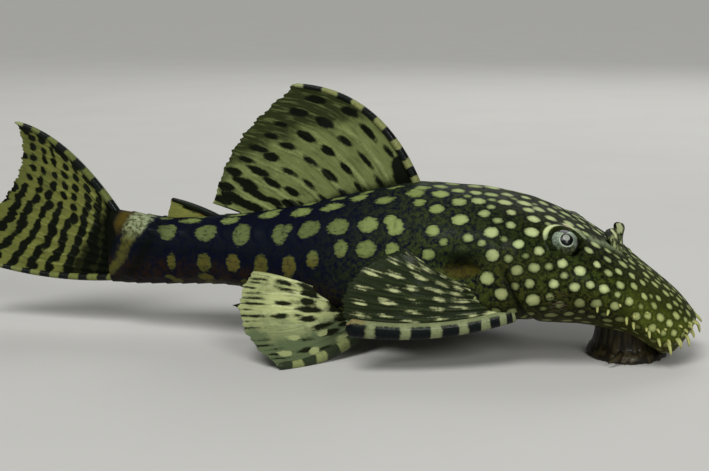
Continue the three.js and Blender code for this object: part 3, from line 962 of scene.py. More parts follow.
@dataclass(frozen=True)
class FloorFinish:
    """A plain pale floor."""

    pale: int = 0xC9C8C3
    greyer: int = 0xC1C0BB

    def make(self) -> Material:
        """Builds the finish's nodes.

        Returns:
            The material.
        """
        paint = Paint("pale_floor", Roughness=0.8, Specular_IOR_Level=0.2)
        cloud = paint.grain(60, 3)
        return paint.finish(Base_Color=paint.blend(self.pale, self.greyer, cloud))


# The body


@dataclass(frozen=True)
class Surface:
    """The smooth body as a grid of points, with their shares of the length and their angles."""

    points: Array
    share: Array
    turn: Array
    angle: Array


@dataclass(frozen=True)
class Eye:
    """Where the eyes sit, how large they are, and the sockets and pale arcs round them."""

    finish: EyeFinish = EyeFinish()
    share: float = 0.2085
    turn: float = 42.0
    sunk: float = 1.35
    radius: float = 2.9
    cornea: float = 0.22
    cornea_spread: float = 32.0
    lift: float = 0.55
    look_ahead: float = 0.16
    look_up: float = 0.12
    # where the milky spot in the pupil sits, which is partly a painted highlight
    lens_behind: float = 0.02
    lens_up: float = 0.12
    rim: float = 3.25
    rim_height: float = 0.6
    droop: float = 0.65
    socket_depth: float = 2.1
    socket_floor: float = 2.2
    segments: int = 72
    rings: int = 56
    arcs: tuple[tuple[float, ...], ...] = (
        # middle and half spread in degrees round the eye, half width and radius in millimetres
        (58, 46, 0.47, 3.85),
        (152, 18, 0.6, 4.7),
        (122, 10, 0.45, 5.0),
    )

    def axis(self, side: Side) -> Array:
        """The direction that the socket faces in."""
        return BODY.normal(self.share, side * self.turn)

    def centre(self, side: Side) -> Array:
        """The middle of the eyeball."""
        return BODY.point(self.share, side * self.turn) - self.axis(side) * self.sunk

    def gaze(self, side: Side) -> Array:
        """The direction of the pupil, which is turned down from the socket's, to the side."""
        aside = vec(self.look_ahead, side, self.look_up)
        return unit(self.axis(side) * self.lift + aside * (1 - self.lift))

    def reach(self, points: Array, side: Side) -> Array:
        """Distances from the socket's axis.

        Args:
            points: places on the skin.
            side: which side.

        Returns:
            Distances in millimetres, large on the far side of the head.
        """
        offset = points - self.centre(side)
        axis = self.axis(side)
        return np.linalg.norm(offset - (offset @ axis)[..., None] * axis, axis=-1) + 20 * (offset @ axis < 0)

    def socket(self, points: Array, side: Side) -> tuple[Array, Array]:
        """The raised rim of the socket, and the hollow that the ball sits in.

        Args:
            points: places on the skin.
            side: which side.

        Returns:
            The height of the rim and the depth of the hollow.
        """
        rim = self.rim_height * bell(self.reach(points, side) - self.rim, 0.5)
        lower = self.reach(points + vec(-0.7, 0, 1) * self.droop, side)
        return rim, self.socket_depth * (1 - smooth(self.socket_floor, self.rim, lower))

    def pale_arcs(self, points: Array, side: Side) -> tuple[Array, Array]:
        """The pale arcs behind and before the eye.

        Args:
            points: places on the skin.
            side: which side.

        Returns:
            Depths inside an arc in millimetres, and headings round the eye in degrees.
        """
        axis = self.axis(side)
        upward = unit(vec(0, 0, 1) - axis * axis[2])
        back = unit(vec(-1, 0, 0) + axis * axis[0])
        back = unit(back - upward * float(back @ upward))
        offset = points - self.centre(side)
        reach = self.reach(points, side)
        heading = np.degrees(np.arctan2(offset @ upward, offset @ back))
        depth = np.full(points.shape[:2], -3.0)
        for middle, spread, half, radius in self.arcs:
            aside = np.abs((heading - middle + 180) % 360 - 180)
            beyond = np.maximum(aside - spread, 0) * np.pi / 180 * radius
            width = half * (1 - 0.4 * np.minimum(aside / spread, 1) ** 2)
            depth = np.maximum(depth, width - np.hypot(reach - radius, beyond))
        return depth, heading

    def build(self) -> list[Piece]:
        """Models both eyes.

        Returns:
            The eyeballs.
        """
        material = self.finish.make()
        balls = [(side.label, self._ball("eyeball_" + side.label, side)) for side in Side]
        return [settle(ball, material, "eyes", "eye_" + label) for label, ball in balls]

    def _ball(self, name: str, side: Side) -> Piece:
        """One eyeball, a sphere with a slightly raised cornea, turned to look along its gaze.

        Args:
            name: the piece's name.
            side: which side.

        Returns:
            The eyeball.
        """
        deselect()
        add_sphere = bpy.ops.mesh.primitive_uv_sphere_add
        add_sphere(segments=self.segments, ring_count=self.rings, radius=self.radius)
        ball = bpy.context.object
        ball.name = ball.data.name = name
        sphere = mesh_points(ball.data).astype(float)
        polar = np.degrees(np.arccos(np.clip(sphere[:, 2] / self.radius, -1, 1)))
        sphere += unit(sphere) * (self.cornea * bell(polar, self.cornea_spread))[:, None]
        gaze = self.gaze(side)
        upward = unit(vec(0, 0, 1) - gaze * gaze[2])
        forward = np.cross(upward, gaze)
        places = sphere @ np.array([forward, upward, gaze]) + self.centre(side)
        ahead = math.copysign(1, float(forward[0]))
        aim = unit(sphere)
        glint_aim = unit(vec(-self.lens_behind * ahead, self.lens_up, 1))
        lens = np.degrees(np.arccos(np.clip(aim @ glint_aim, -1, 1)))
        fields = {"ring": polar, "lens": lens, "ahead": aim[:, 0] * ahead, "above": aim[:, 1]}
        shape_mesh(ball, places, fields)
        return ball


@dataclass(frozen=True)
class Nostril:
    """The nostrils of each side: two openings with a standing flap between them."""

    finish: FlapFinish = FlapFinish()
    share: float = 0.13
    turn: float = 13.0
    offset: float = 1.5
    pit: float = 0.62
    pit_depth: float = 0.8
    rim: float = 1.05
    rim_height: float = 0.28
    height: float = 3.8
    buried: float = 0.25
    half_width: float = 1.2
    half_thick: float = 0.3
    back: float = 0.12
    apart: float = 0.22
    outward: float = 0.1
    curl: float = 0.5
    outline: SmoothLine = SmoothLine(
        (0, 1), (0.25, 0.85), (0.42, 0.74), (0.6, 0.8), (0.78, 1), (0.93, 0.8), (1, 0.3)
    )
    sides: int = 28
    steps: int = 40

    def openings(self, points: Array, side: Side) -> list[tuple[Array, Array, Array]]:
        """The two openings, one before and one behind the flap.

        Args:
            points: places on the skin.
            side: which side.

        Returns:
            For each opening its depth, the height of its rim and the painted shade inside it.
        """
        made = []
        for way in (-1, 1):
            at = BODY.point(self.share + way * self.offset / BODY.length, side * self.turn)
            gap = np.linalg.norm(points - at, axis=-1)
            rim = self.rim_height * bell(gap - self.rim, 0.3)
            # the last of the three is painted shade inside the opening
            made.append((self.pit_depth * bell(gap, self.pit), rim, bell(gap, self.pit * 1.1)))
        return made

    def build(self) -> list[Piece]:
        """Models both flaps."""
        material = self.finish.make()
        return [settle(self._flap("nostril_flap_" + side.label, side), material, "skin") for side in Side]

    def _flap(self, name: str, side: Side) -> Piece:
        """One flap: a flat blade that is narrow in the middle and curls back at the top.

        Args:
            name: the piece's name.
            side: which side.

        Returns:
            The flap.
        """
        root = BODY.point(self.share, side * self.turn)
        lean = vec(side * self.apart - self.back, side * self.outward, 1)
        rise = np.linspace(-self.buried, 1, self.steps)
        line = root + lean * (self.height * rise)[:, None]
        line += vec(-self.curl, 0, 0) * (smooth(0.4, 1, rise) ** 2)[:, None]
        share = (rise + self.buried) / (1 + self.buried)
        wide = self.outline(share) * self.half_width
        thicker = 1 + 0.8 * (1 - smooth(0, 0.4, share))
        thick = self.half_thick * (0.5 + 0.5 * self.outline(share)) * thicker
        rings = rod_rings(line, wide, thick, vec(0.9, side * -0.4, 0), self.sides)
        turn = np.linspace(0, 2 * np.pi, self.sides + 1)
        top = along_rings(self.steps, self.sides)
        edge = np.repeat(np.abs(np.cos(turn))[None], self.steps + 2, axis=0)
        edge = np.maximum(edge, smooth(0.8, 1.05, top))
        middle = np.concatenate([line[:1], line, line[-1:]])[:, None]
        inner = 4 * ((rings - middle) @ vec(0.35, -side, 0))
        return grid_piece(name, rings, {"edge": edge, "along": top, "inner": inner})


@dataclass(frozen=True)
class Plates:
    """The rows of bony plates along the trunk and tail."""

    rows: tuple[float, ...] = (0, 33, 62, 90, 118, 146, 180)
    start: float = 0.4
    end: float = 0.985
    columns: int = 21
    step: float = 0.22
    keel: float = 0.08
    bulge: float = 1.2
    naked_until: float = 0.62

    def relief(self, body: Surface) -> tuple[Array, Array]:
        """How high the plates stand, and where their seams are.

        Args:
            body: the smooth body.

        Returns:
            Heights in millimetres, and the darkness of the seams.
        """
        share = body.share
        edges = np.array(self.rows)
        angle = np.clip(body.angle, 0, edges[-1] - 0.001)
        row = np.searchsorted(edges, angle, side="right") - 1
        across = (angle - edges[row]) / (edges[row + 1] - edges[row])
        crest = 1 - (2 * across - 1) ** 2
        pitch = (self.end - self.start) / self.columns
        stagger = 0.5 * (row % 2)
        count = (share - self.bulge * crest / BODY.length - self.start) / pitch + stagger
        part = count - np.floor(count)
        ramp = part * (1 - smooth(0.93, 1.0, part))
        fade = smooth(self.start, self.start + 0.06, share) * (1 - smooth(self.end - 0.02, self.end, share))
        belly = np.where((row == len(edges) - 2), smooth(self.naked_until, self.naked_until + 0.05, share), 1)
        keel = self.keel * bell(across - 0.5, 0.16)
        height = (self.step * ramp * (0.35 + 0.65 * crest) + keel) * fade * belly
        seam = np.maximum(smooth(0.9, 0.97, part) * (1 - smooth(0.985, 1, part)), 0.6 * bell(crest, 0.1))
        return height, seam * fade * belly


@dataclass(frozen=True)
class Shoulder:
    """The bony swelling that the pectoral spine grows from, and the shelf over the hollow behind it."""

    share: float = 0.295
    turn: float = 96.0
    swelling: float = 0.7
    spread: float = 3.4
    shelf: float = 0.45
    shelf_turn: float = 62.0
    shelf_spread: float = 4.5

    def relief(self, body: Surface, side: Side) -> Array:
        """How far both stand out.

        Args:
            body: the smooth body.
            side: which side.

        Returns:
            Heights in millimetres.
        """
        gap = np.linalg.norm(body.points - BODY.point(self.share, side * self.turn), axis=-1)
        shelf = bell(body.angle - self.shelf_turn, self.shelf_spread)
        shelf = shelf * smooth(0.3, 0.35, body.share) * (1 - smooth(0.41, 0.46, body.share))
        shelf = np.where(np.sign(body.turn) == side, self.shelf * shelf, 0)
        return self.swelling * bell(gap, self.spread) + shelf


@dataclass(frozen=True)
class Pit:
    """The lens-shaped hollow above the root of the pectoral fin, with a bare rust brown floor and painted
    shadow under its upper edge.
    """

    share: float = 0.366
    turn: float = 73.5
    arm: float = 16.5
    half_length: float = 3.9
    half_height: float = 1.7
    depth: float = 1.3
    dark_above: float = 2.1
    dark_length: float = 4.6
    dark_height: float = 1.3
    floor_length: float = 3.7
    floor_height: float = 1.5

    def relief(self, body: Surface) -> tuple[Array, Array]:
        """How deep the hollow is, and the painted shadow along its upper edge.

        Args:
            body: the smooth body.

        Returns:
            Depths in millimetres, and the painted shadow from 0 to 1.
        """
        along = (body.share - self.share) * BODY.length
        down = np.radians(body.angle - self.turn) * self.arm
        reach = np.sqrt((along / self.half_length) ** 2 + (down / self.half_height) ** 2)
        upper = (down + self.dark_above) / self.dark_height
        # painted shadow under the shelf along the hollow's upper edge
        dark = bell(np.sqrt((along / self.dark_length) ** 2 + upper**2), 1.0)
        return self.depth * (1 - smooth(0.45, 1.15, reach)), dark

    def floor(self, body: Surface) -> Array:
        """How much of its bare floor covers each point.

        Args:
            body: the smooth body.

        Returns:
            Shares from 0 to 1.
        """
        share, angle = body.share, body.angle
        arm = np.maximum(BODY.half_width(share), (BODY.top(share) - BODY.belly(share)) / 2) * BODY.length
        along = (share - self.share) * BODY.length / self.floor_length
        down = np.radians(angle - self.turn) * arm / self.floor_height
        return 1 - smooth(0.6, 1.2, np.sqrt(along**2 + down**2))


@dataclass(frozen=True)
class GillCover:
    """The rear edge of the gill cover, a step down to the trunk with painted shade in the groove behind it.
    """

    edge: Point = (27, 0, 10)
    facing: Point = (0.9, 0, 0.43)
    step: float = 0.35
    groove: float = 0.55

    def relief(self, body: Surface) -> tuple[Array, Array]:
        """The step and the groove.

        Args:
            body: the smooth body.

        Returns:
            Heights in millimetres, and the painted shade of the groove from 0 to 1.
        """
        ahead = (body.points - vec(*self.edge)) @ unit(vec(*self.facing))
        low = smooth(66, 82, body.angle) * (1 - smooth(150, 165, body.angle))
        step = self.step * smooth(-0.2, 0.9, ahead) * (1 - smooth(2, 9, ahead))
        # the second value is painted shade in the groove behind the gill cover
        return (step - self.groove * bell(ahead + 0.3, 0.5)) * low, bell(ahead + 0.25, 0.45) * low


@dataclass(frozen=True)
class TailBand:
    """The pale bar across the root of the tail fin, which slants back on its way down."""

    share: float = 0.938
    slant: float = 0.054
    slant_turn: float = 122.0
    half_width: float = 1.35
    wider_above: float = 0.9

    def tints(self, body: Surface, high: Array) -> dict[str, Array]:
        """The bar, the rust brown behind it and the dark before it and at the fin.

        Args:
            body: the smooth body.
            high: 1 on the back, 0 on the flank.

        Returns:
            Numbers per point, by attribute name.
        """
        behind = (body.share - self.share - self.slant * (body.angle / self.slant_turn) ** 2.2) * BODY.length
        root = smooth(2.4 + 2.4 * high, 3.2 + 2.4 * high, behind)
        before = bell(behind + 4.6, 1.7) * (0.75 - 0.3 * high)
        band = self.half_width + self.wider_above * high - np.abs(behind)
        return {
            "band": band * (1 - smooth(135, 160, body.angle)),
            "rim": np.clip(root + before, 0, 1),
            "rust": bell(behind - 3.6, 1.6) * high,
        }


@dataclass(frozen=True)
class Spots:
    """The pale spots: in rows on trunk and tail, scattered over head and shoulders."""

    rows: tuple[tuple[float, ...], ...] = (
        # angle, first and last share, pitch in millimetres, half length, half width, how much it climbs
        (12, 0.445, 0.91, 6.2, 1.9, 0.9, 0),
        (24, 0.455, 0.91, 5.8, 2.3, 1.3, 0),
        (48, 0.478, 0.885, 5.9, 2.0, 2.0, 4),
        (61, 0.48, 0.92, 4.8, 1.7, 1.8, 35),
        (124, 0.5, 0.91, 6.4, 1.5, 1.1, 4),
        (150, 0.45, 0.91, 5.4, 1.4, 1.3, 0),
    )
    thrown_until: float = 0.46
    kept_until: float = 0.445
    throws: int = 6000
    room: SmoothLine = SmoothLine((0, 2.3), (0.1, 2.7), (0.2, 3.2), (0.3, 3.7), (0.46, 4.6))
    size: SmoothLine = SmoothLine((0, 0.62), (0.1, 0.74), (0.2, 0.86), (0.3, 0.98), (0.46, 1.2))
    rounds: tuple[tuple[float, ...], ...] = (
        # how close and how small they may be, as shares of the first round's, and how dim they are
        (1.0, 1.0, 0.0),
        (0.84, 0.88, 0.2),
        (0.7, 0.68, 0.7),
    )
    bare_places: tuple[tuple[float, ...], ...] = (
        # share, angle and radius: the pale streak, the nostrils, and the hollow over the pectoral fin
        (0.15, 18, 2.6),
        (0.13, 14, 2.6),
        (0.366, 71, 5.2),
    )
    eye_room: float = 4.7

    def depths(self, points: Array, eye: Eye) -> tuple[Array, Array]:
        """How deep inside a spot each point lies, measured over the body's own surface.

        Args:
            points: places on the skin, in rows from the snout back.
            eye: the eyes, which are kept clear.

        Returns:
            Depths in millimetres, below 0 outside, and the tone of the nearest spot.
        """
        depth = np.full(points.shape[:2], -3.0)
        tone = np.full(points.shape[:2], 0.5)
        behind = BODY.snout_x - points[:, 0, 0]
        for mark in self._in_rows() + self._scattered(eye):
            centre = BODY.point(mark.along, mark.around)
            window = 3 + 2 * max(mark.half_length, mark.half_width)
            first, last = np.searchsorted(behind, BODY.snout_x - centre[0] + np.array([-window, window]))
            offset = points[first:last] - centre
            across = np.hypot(offset[..., 1], offset[..., 2])
            reach = np.hypot(offset[..., 0] / mark.half_length, across / mark.half_width)
            inside = (1 - reach) * min(mark.half_length, mark.half_width)
            nearer = inside > depth[first:last]
            depth[first:last][nearer] = inside[nearer]
            tone[first:last][nearer] = mark.tone
        return depth, tone

    def _in_rows(self) -> list[Mark]:
        """Spots of the trunk and tail in rows: broad ones high up, upright ones along the middle.

        Returns:
            The spots of both sides.
        """
        rng = np.random.default_rng(SEED)
        marks = []
        for side in Side:
            for turn, share, last, pitch, long, wide, climb in self.rows:
                while share < last:
                    size = rng.uniform(0.85, 1.12) * (1 - 0.2 * smooth(0.75, 0.95, share))
                    behind = float(smooth(0.5, 0.78, share))
                    angle = turn + climb * behind + rng.normal(0, 2.4)
                    stretch = rng.uniform(0.85, 1.15) * (1 - climb * behind / 200)
                    half_length, half_width = long * size * stretch, wide * size / stretch
                    spot = Mark(share, side * angle, half_length, half_width, rng.uniform())
                    marks.append(spot)
                    if rng.uniform() < 0.5 and wide == long:
                        aside = share + rng.choice([-1, 1]) * 0.6 * long / BODY.length
                        lower = side * (angle + rng.choice([-1, 1]) * 5)
                        marks.append(Mark(aside, lower, 0.65 * long, 0.6 * wide, spot.tone))
                    share += pitch * (1 + 0.35 * behind) / BODY.length * rng.uniform(0.88, 1.12)
        return marks

    def _scattered(self, eye: Eye) -> list[Mark]:
        """Spots of head and shoulders, thrown at random: wide apart at first, then into the gaps.

        Args:
            eye: the eyes, which are kept clear.

        Returns:
            The spots of both sides.
        """
        rng = np.random.default_rng(SEED + 1)
        keep_clear = [(eye.centre(side) + eye.axis(side) * 1.5, self.eye_room) for side in Side]
        for share, turn, radius in self.bare_places:
            keep_clear += [(BODY.point(share, side * turn), radius) for side in Side]
        taken = np.zeros((0, 3))
        marks = []
        for closer, smaller, dim in self.rounds:
            shares = self.thrown_until * rng.uniform(size=self.throws) ** 0.8
            turns = rng.uniform(-176, 176, self.throws)
            points = BODY.point(shares, turns)
            tight = closer * (0.8 + 0.2 * smooth(20, 45, np.abs(turns)))
            free = np.ones(self.throws, bool)
            for centre, radius in keep_clear:
                free &= np.linalg.norm(points - centre, axis=1) > radius
            for place in taken:
                here = self.room((BODY.snout_x - place[0]) / BODY.length)
                free &= np.linalg.norm(points - place, axis=1) > tight * float(here)
            for i in range(self.throws):
                if not free[i]:
                    continue
                apart = tight[i] * float(self.room(shares[i]))
                free &= np.linalg.norm(points - points[i], axis=1) > apart
                taken = np.vstack([taken, points[i]])
                scale = smaller * float(self.size(shares[i])) * rng.uniform(0.85, 1.15)
                if shares[i] < self.kept_until:
                    down = float(smooth(15, 50, abs(turns[i])))
                    scale *= 0.95 + 0.12 * down
                    long = scale * rng.uniform(1, 1.25) * (1.3 - 0.3 * down)
                    marks.append(Mark(shares[i], turns[i], long, scale, dim + 0.8 * rng.uniform()))
        return marks


@dataclass(frozen=True)
class Skin:
    """One skin over head, trunk and tail, with its relief and its markings."""

    finish: SkinFinish = SkinFinish()
    head_rings: int = 140
    body_rings: int = 200
    columns: int = 252
    head_end: float = 0.3
    crowding: float = 1.25
    lowest: float = 0.35
    cap: tuple[float, ...] = (0.9, 0.7, 0.45, 0.2, 0.0)
    cap_depth: float = 0.5
    eye: Eye = Eye()
    nostril: Nostril = Nostril()
    plates: Plates = Plates()
    shoulder: Shoulder = Shoulder()
    pit: Pit = Pit()
    gill: GillCover = GillCover()
    band: TailBand = TailBand()
    spots: Spots = Spots()
    crest: float = 0.35
    streak_from: tuple[float, float] = (0.168, 24)
    streak_length: tuple[float, float] = (0.04, 10)
    streak_width: float = 1.15
    brow_patch: tuple[float, float] = (0.208, 25)
    brow_width: float = 0.75

    def build(self) -> list[Piece]:
        """Models the skin.

        Returns:
            The skin.
        """
        material = self.finish.make()
        head = self.head_end * np.linspace(0, 1, self.head_rings, endpoint=False) ** self.crowding
        shares = np.concatenate([head, np.linspace(self.head_end, 1, self.body_rings)])
        turns = np.linspace(-180, 180, self.columns)
        share, turn = np.meshgrid(shares, turns, indexing="ij")
        body = Surface(BODY.point(share, turn), share, turn, np.abs(turn))
        height, fields = self._relief(body)
        moved = body.points + self._normals(body) * height[..., None]
        moved[..., 2] = np.maximum(moved[..., 2], self.lowest)
        fields |= self._markings(body)
        moved = np.concatenate([moved, self._cap(moved[-1])])
        count = len(self.cap)
        fields = {k: np.concatenate([f, np.repeat(f[-1:], count, axis=0)]) for k, f in fields.items()}
        return [settle(grid_piece("skin", moved, fields), material, "skin", "head", "trunk", "tail")]

    def _cap(self, last: Array) -> Array:
        """Rings that close the rear end with a low dome.

        Args:
            last: the last ring of the skin.

        Returns:
            The rings, down to a point.
        """
        middle = last.mean(axis=0)
        rings = []
        for size in self.cap:
            ring = middle + (last - middle) * size
            ring[:, 0] -= self.cap_depth * (1 - size**2)
            rings.append(ring)
        return np.array(rings)

    def _normals(self, body: Surface) -> Array:
        """Outward directions of the smooth body.

        Args:
            body: the smooth body.

        Returns:
            A direction per point.
        """
        points, share = body.points, body.share
        along = np.gradient(points, axis=0)
        around = np.gradient(points, axis=1)
        around[:, 0] = around[:, -1] = points[:, 1] - points[:, -2]
        normals = unit(np.cross(along, around))
        middle = np.stack([BODY.x_at(share), 0 * share, BODY.side(share) * BODY.length], axis=-1)
        flip = np.sum(normals * (points - middle), axis=-1, keepdims=True) < 0
        normals = np.where(flip, -normals, normals)
        normals[0] = vec(1, 0, 0)
        return normals

    def _relief(self, body: Surface) -> tuple[Array, dict[str, Array]]:
        """How far the skin stands out from the smooth body.

        Args:
            body: the smooth body.

        Returns:
            Heights in millimetres, and the seams and the painted shade of the nostrils, the pit and the gill
            groove, which the finish darkens.
        """
        height, seam = self.plates.relief(body)
        share = body.share
        # black: painted shade in the nostrils, under the shelf of the pit and in the gill groove
        black = np.zeros_like(share)
        for side in Side:
            here = np.sign(body.turn) == side
            rim, hollow = self.eye.socket(body.points, side)
            height = height + np.where(here, rim, 0)
            height = height - np.where(here, hollow, 0)
            for depth, edge, dark in self.nostril.openings(body.points, side):
                height = height - depth
                height = height + edge
                black = np.maximum(black, dark)
            height = height + self.shoulder.relief(body, side)
        depth, shadow = self.pit.relief(body)
        height = height - depth
        black = np.maximum(black, shadow)
        step, groove = self.gill.relief(body)
        height = height + step
        black = np.maximum(black, groove)
        crest = self.crest * bell(body.angle, 7) * smooth(0.2, 0.27, share) * (1 - smooth(0.34, 0.4, share))
        return height + crest, {"seam": seam, "black": np.clip(black, 0, 1)}

    def _markings(self, body: Surface) -> dict[str, Array]:
        """Spots, bands and tints of the skin.

        Args:
            body: the smooth body.

        Returns:
            Numbers per point, by attribute name.
        """
        share, angle = body.share, body.angle
        high = 1 - smooth(45, 80, angle)
        floor = self.pit.floor(body)
        spot, tone = self.spots.depths(body.points, self.eye)
        spot = np.where(floor > 0.1, -1, spot)
        warm = smooth(0.45, 0.6, share) * smooth(84, 112, angle)
        cheek = bell(share - 0.2, 0.09) * smooth(76, 92, angle)
        cheek = np.maximum(cheek, 0.8 * bell(share - 0.285, 0.055) * smooth(58, 74, angle))
        cheek = np.maximum(cheek, smooth(92, 110, angle) * (1 - smooth(0.25, 0.35, share)))
        fields = {
            "spot": spot - 3 * smooth(0.9, 0.96, share),
            "tone": tone,
            # clear is 1 over the top; it carries the painted shade over head and back, and the tail band's
            # paler top
            "clear": high,
            "rear": smooth(0.4, 0.66, share),
            "warm": np.clip(warm + 0.9 * cheek, 0, 1),
            "flank": 0.35 + 0.65 * smooth(28, 40, angle),
            "low": np.clip(smooth(0.42, 0.52, share) * smooth(62, 80, angle) + 0.8 * cheek, 0, 1),
            "snout": 1 - smooth(0.07, 0.17, share),
            "trunk": smooth(0.25, 0.45, share),
            "under": smooth(120, 145, angle) * (1 - smooth(0.75, 0.9, share)),
        }
        fields |= self._round_the_eyes(body)
        fields |= self.band.tints(body, high)
        fields["rust"] = np.maximum(fields["rust"], 0.55 * floor)
        return fields

    def _round_the_eyes(self, body: Surface) -> dict[str, Array]:
        """The pale arcs round the eyes, the bare streaks before them and the pink patches above.

        Args:
            body: the smooth body.

        Returns:
            Numbers per point, by attribute name.
        """
        points, turn = body.points, body.turn
        cream = np.full_like(turn, -3.0)
        bare, pink, faded = np.zeros_like(turn), np.zeros_like(turn), np.zeros_like(turn)
        for side in Side:
            here = np.sign(turn) == side
            arc, heading = self.eye.pale_arcs(points, side)
            cream = np.maximum(cream, arc - np.where(here, 0, 9))
            faded = np.where(here, smooth(38, 8, heading) + smooth(120, 150, heading), faded)
            for place in np.linspace(0, 1, 6):
                ahead = self.streak_from[0] - self.streak_length[0] * place
                aside = self.streak_from[1] - self.streak_length[1] * place
                before = BODY.point(ahead, side * aside)
                bare = np.maximum(bare, bell(np.linalg.norm(points - before, axis=-1), self.streak_width))
            above = BODY.point(self.brow_patch[0], side * self.brow_patch[1])
            pink = np.maximum(pink, bell(np.linalg.norm(points - above, axis=-1), self.brow_width))
        return {"cream": cream, "faded": np.clip(faded, 0, 1), "bare": bare, "pink": pink}


@dataclass(frozen=True)
class Bristles:
    """The soft bristles round the snout and the stiff hairs of the cheeks."""

    finish: FleshFinish = FleshFinish("bristle", root=0x525A22, tip=0xA8AA66)
    hair_finish: FleshFinish = FleshFinish("cheek_hair", root=0x1E170E, tip=0x453D2B)
    sides: int = 7
    steps: int = 9
    rows: tuple[tuple[float, ...], ...] = (
        # per side, first share, last share, angle, length, least length, droop
        (11, 0.004, 0.17, 103, 2.3, 0.7, 0.8),
        (9, 0.005, 0.14, 91, 1.5, 0.5, 0.55),
        (5, 0.006, 0.09, 79, 1.0, 0.5, 0.4),
    )
    root: float = 0.4
    hairs: int = 24
    hair_sides: int = 5
    hair_radius: float = 0.075

    def build(self) -> list[Piece]:
        """Models all of them.

        Returns:
            The bristles as one piece and the hairs as another.
        """
        bristle, hair = self.finish.make(), self.hair_finish.make()
        rng = np.random.default_rng(SEED + 2)
        fingers = []
        for per_side, first, last, angle, length, least, droop in self.rows:
            for side in Side:
                for i in range(int(per_side)):
                    place = (i + 0.35 + 0.3 * rng.uniform(-1, 1)) / per_side
                    share = first + (last - first) * max(place, 0.02) ** 1.5
                    turn = side * (angle + rng.normal(0, 3.5))
                    long = (length + (least - length) * place) * rng.uniform(0.8, 1.15)
                    fingers.append(self._bristle(share, turn, long, droop, rng))
        bristles = settle(joined("snout_bristles", fingers), bristle, "skin")
        hairs = [self._hair(side, rng) for side in Side for _ in range(self.hairs)]
        return [bristles, settle(joined("cheek_hairs", hairs), hair, "skin")]

    def _bristle(
        self, share: float, turn: float, long: float, droop: float, rng: np.random.Generator
    ) -> Piece:
        """One bristle: a tapered finger that leans out and droops.

        Args:
            share: where it grows, as a share of the body's length.
            turn: its angle from the middle of the back.
            long: its length.
            droop: how far its tip hangs, as a share of its length.
            rng: the source of chance.

        Returns:
            The bristle.
        """
        root = BODY.point(share, turn)
        out = BODY.normal(share, turn)
        reach = np.linspace(-0.3, 1, self.steps)
        ahead = np.maximum(reach, 0)
        aside = rng.normal(0, 0.12, 3)
        line = root + out * (long * reach * (1 - 0.35 * ahead))[:, None]
        line += vec(0, 0, -1) * (droop * long * ahead**2)[:, None] + aside * (long * ahead**2)[:, None]
        line[:, 2] = np.maximum(line[:, 2], self.root + 0.1)
        thick = self.root * min(1, 0.55 + 0.25 * long)
        radius = thick * (1.05 - 0.5 * ahead) * (1 - 0.55 * smooth(0.82, 1, reach))
        rings = rod_rings(line, radius, radius, vec(0.2, 0.1, 1), self.sides)
        return grid_piece("bristle", rings, {"along": along_rings(self.steps, self.sides)})

    def _hair(self, side: Side, rng: np.random.Generator) -> Piece:
        """One stiff hair of the cheek, pointing back.

        Args:
            side: which side.
            rng: the source of chance.

        Returns:
            The hair.
        """
        turn = side * rng.uniform(84, 108)
        share = rng.uniform(0.2, 0.225)
        root = BODY.point(share, turn)
        out = BODY.normal(share, turn)
        long = rng.uniform(0.8, 1.7)
        reach = np.linspace(-0.2, 1, self.steps)
        back = unit(vec(-1, 0, rng.normal(0, 0.14)))
        line = root + back * (long * reach)[:, None] + out * (0.1 + 0.45 * np.sin(reach * 1.9))[:, None]
        radius = self.hair_radius * (1.05 - smooth(0.2, 1, reach))
        rings = rod_rings(line, radius, radius, vec(0, 0.3, 1), self.hair_sides)
        return grid_piece("hair", rings, {"along": along_rings(self.steps, self.hair_sides)})


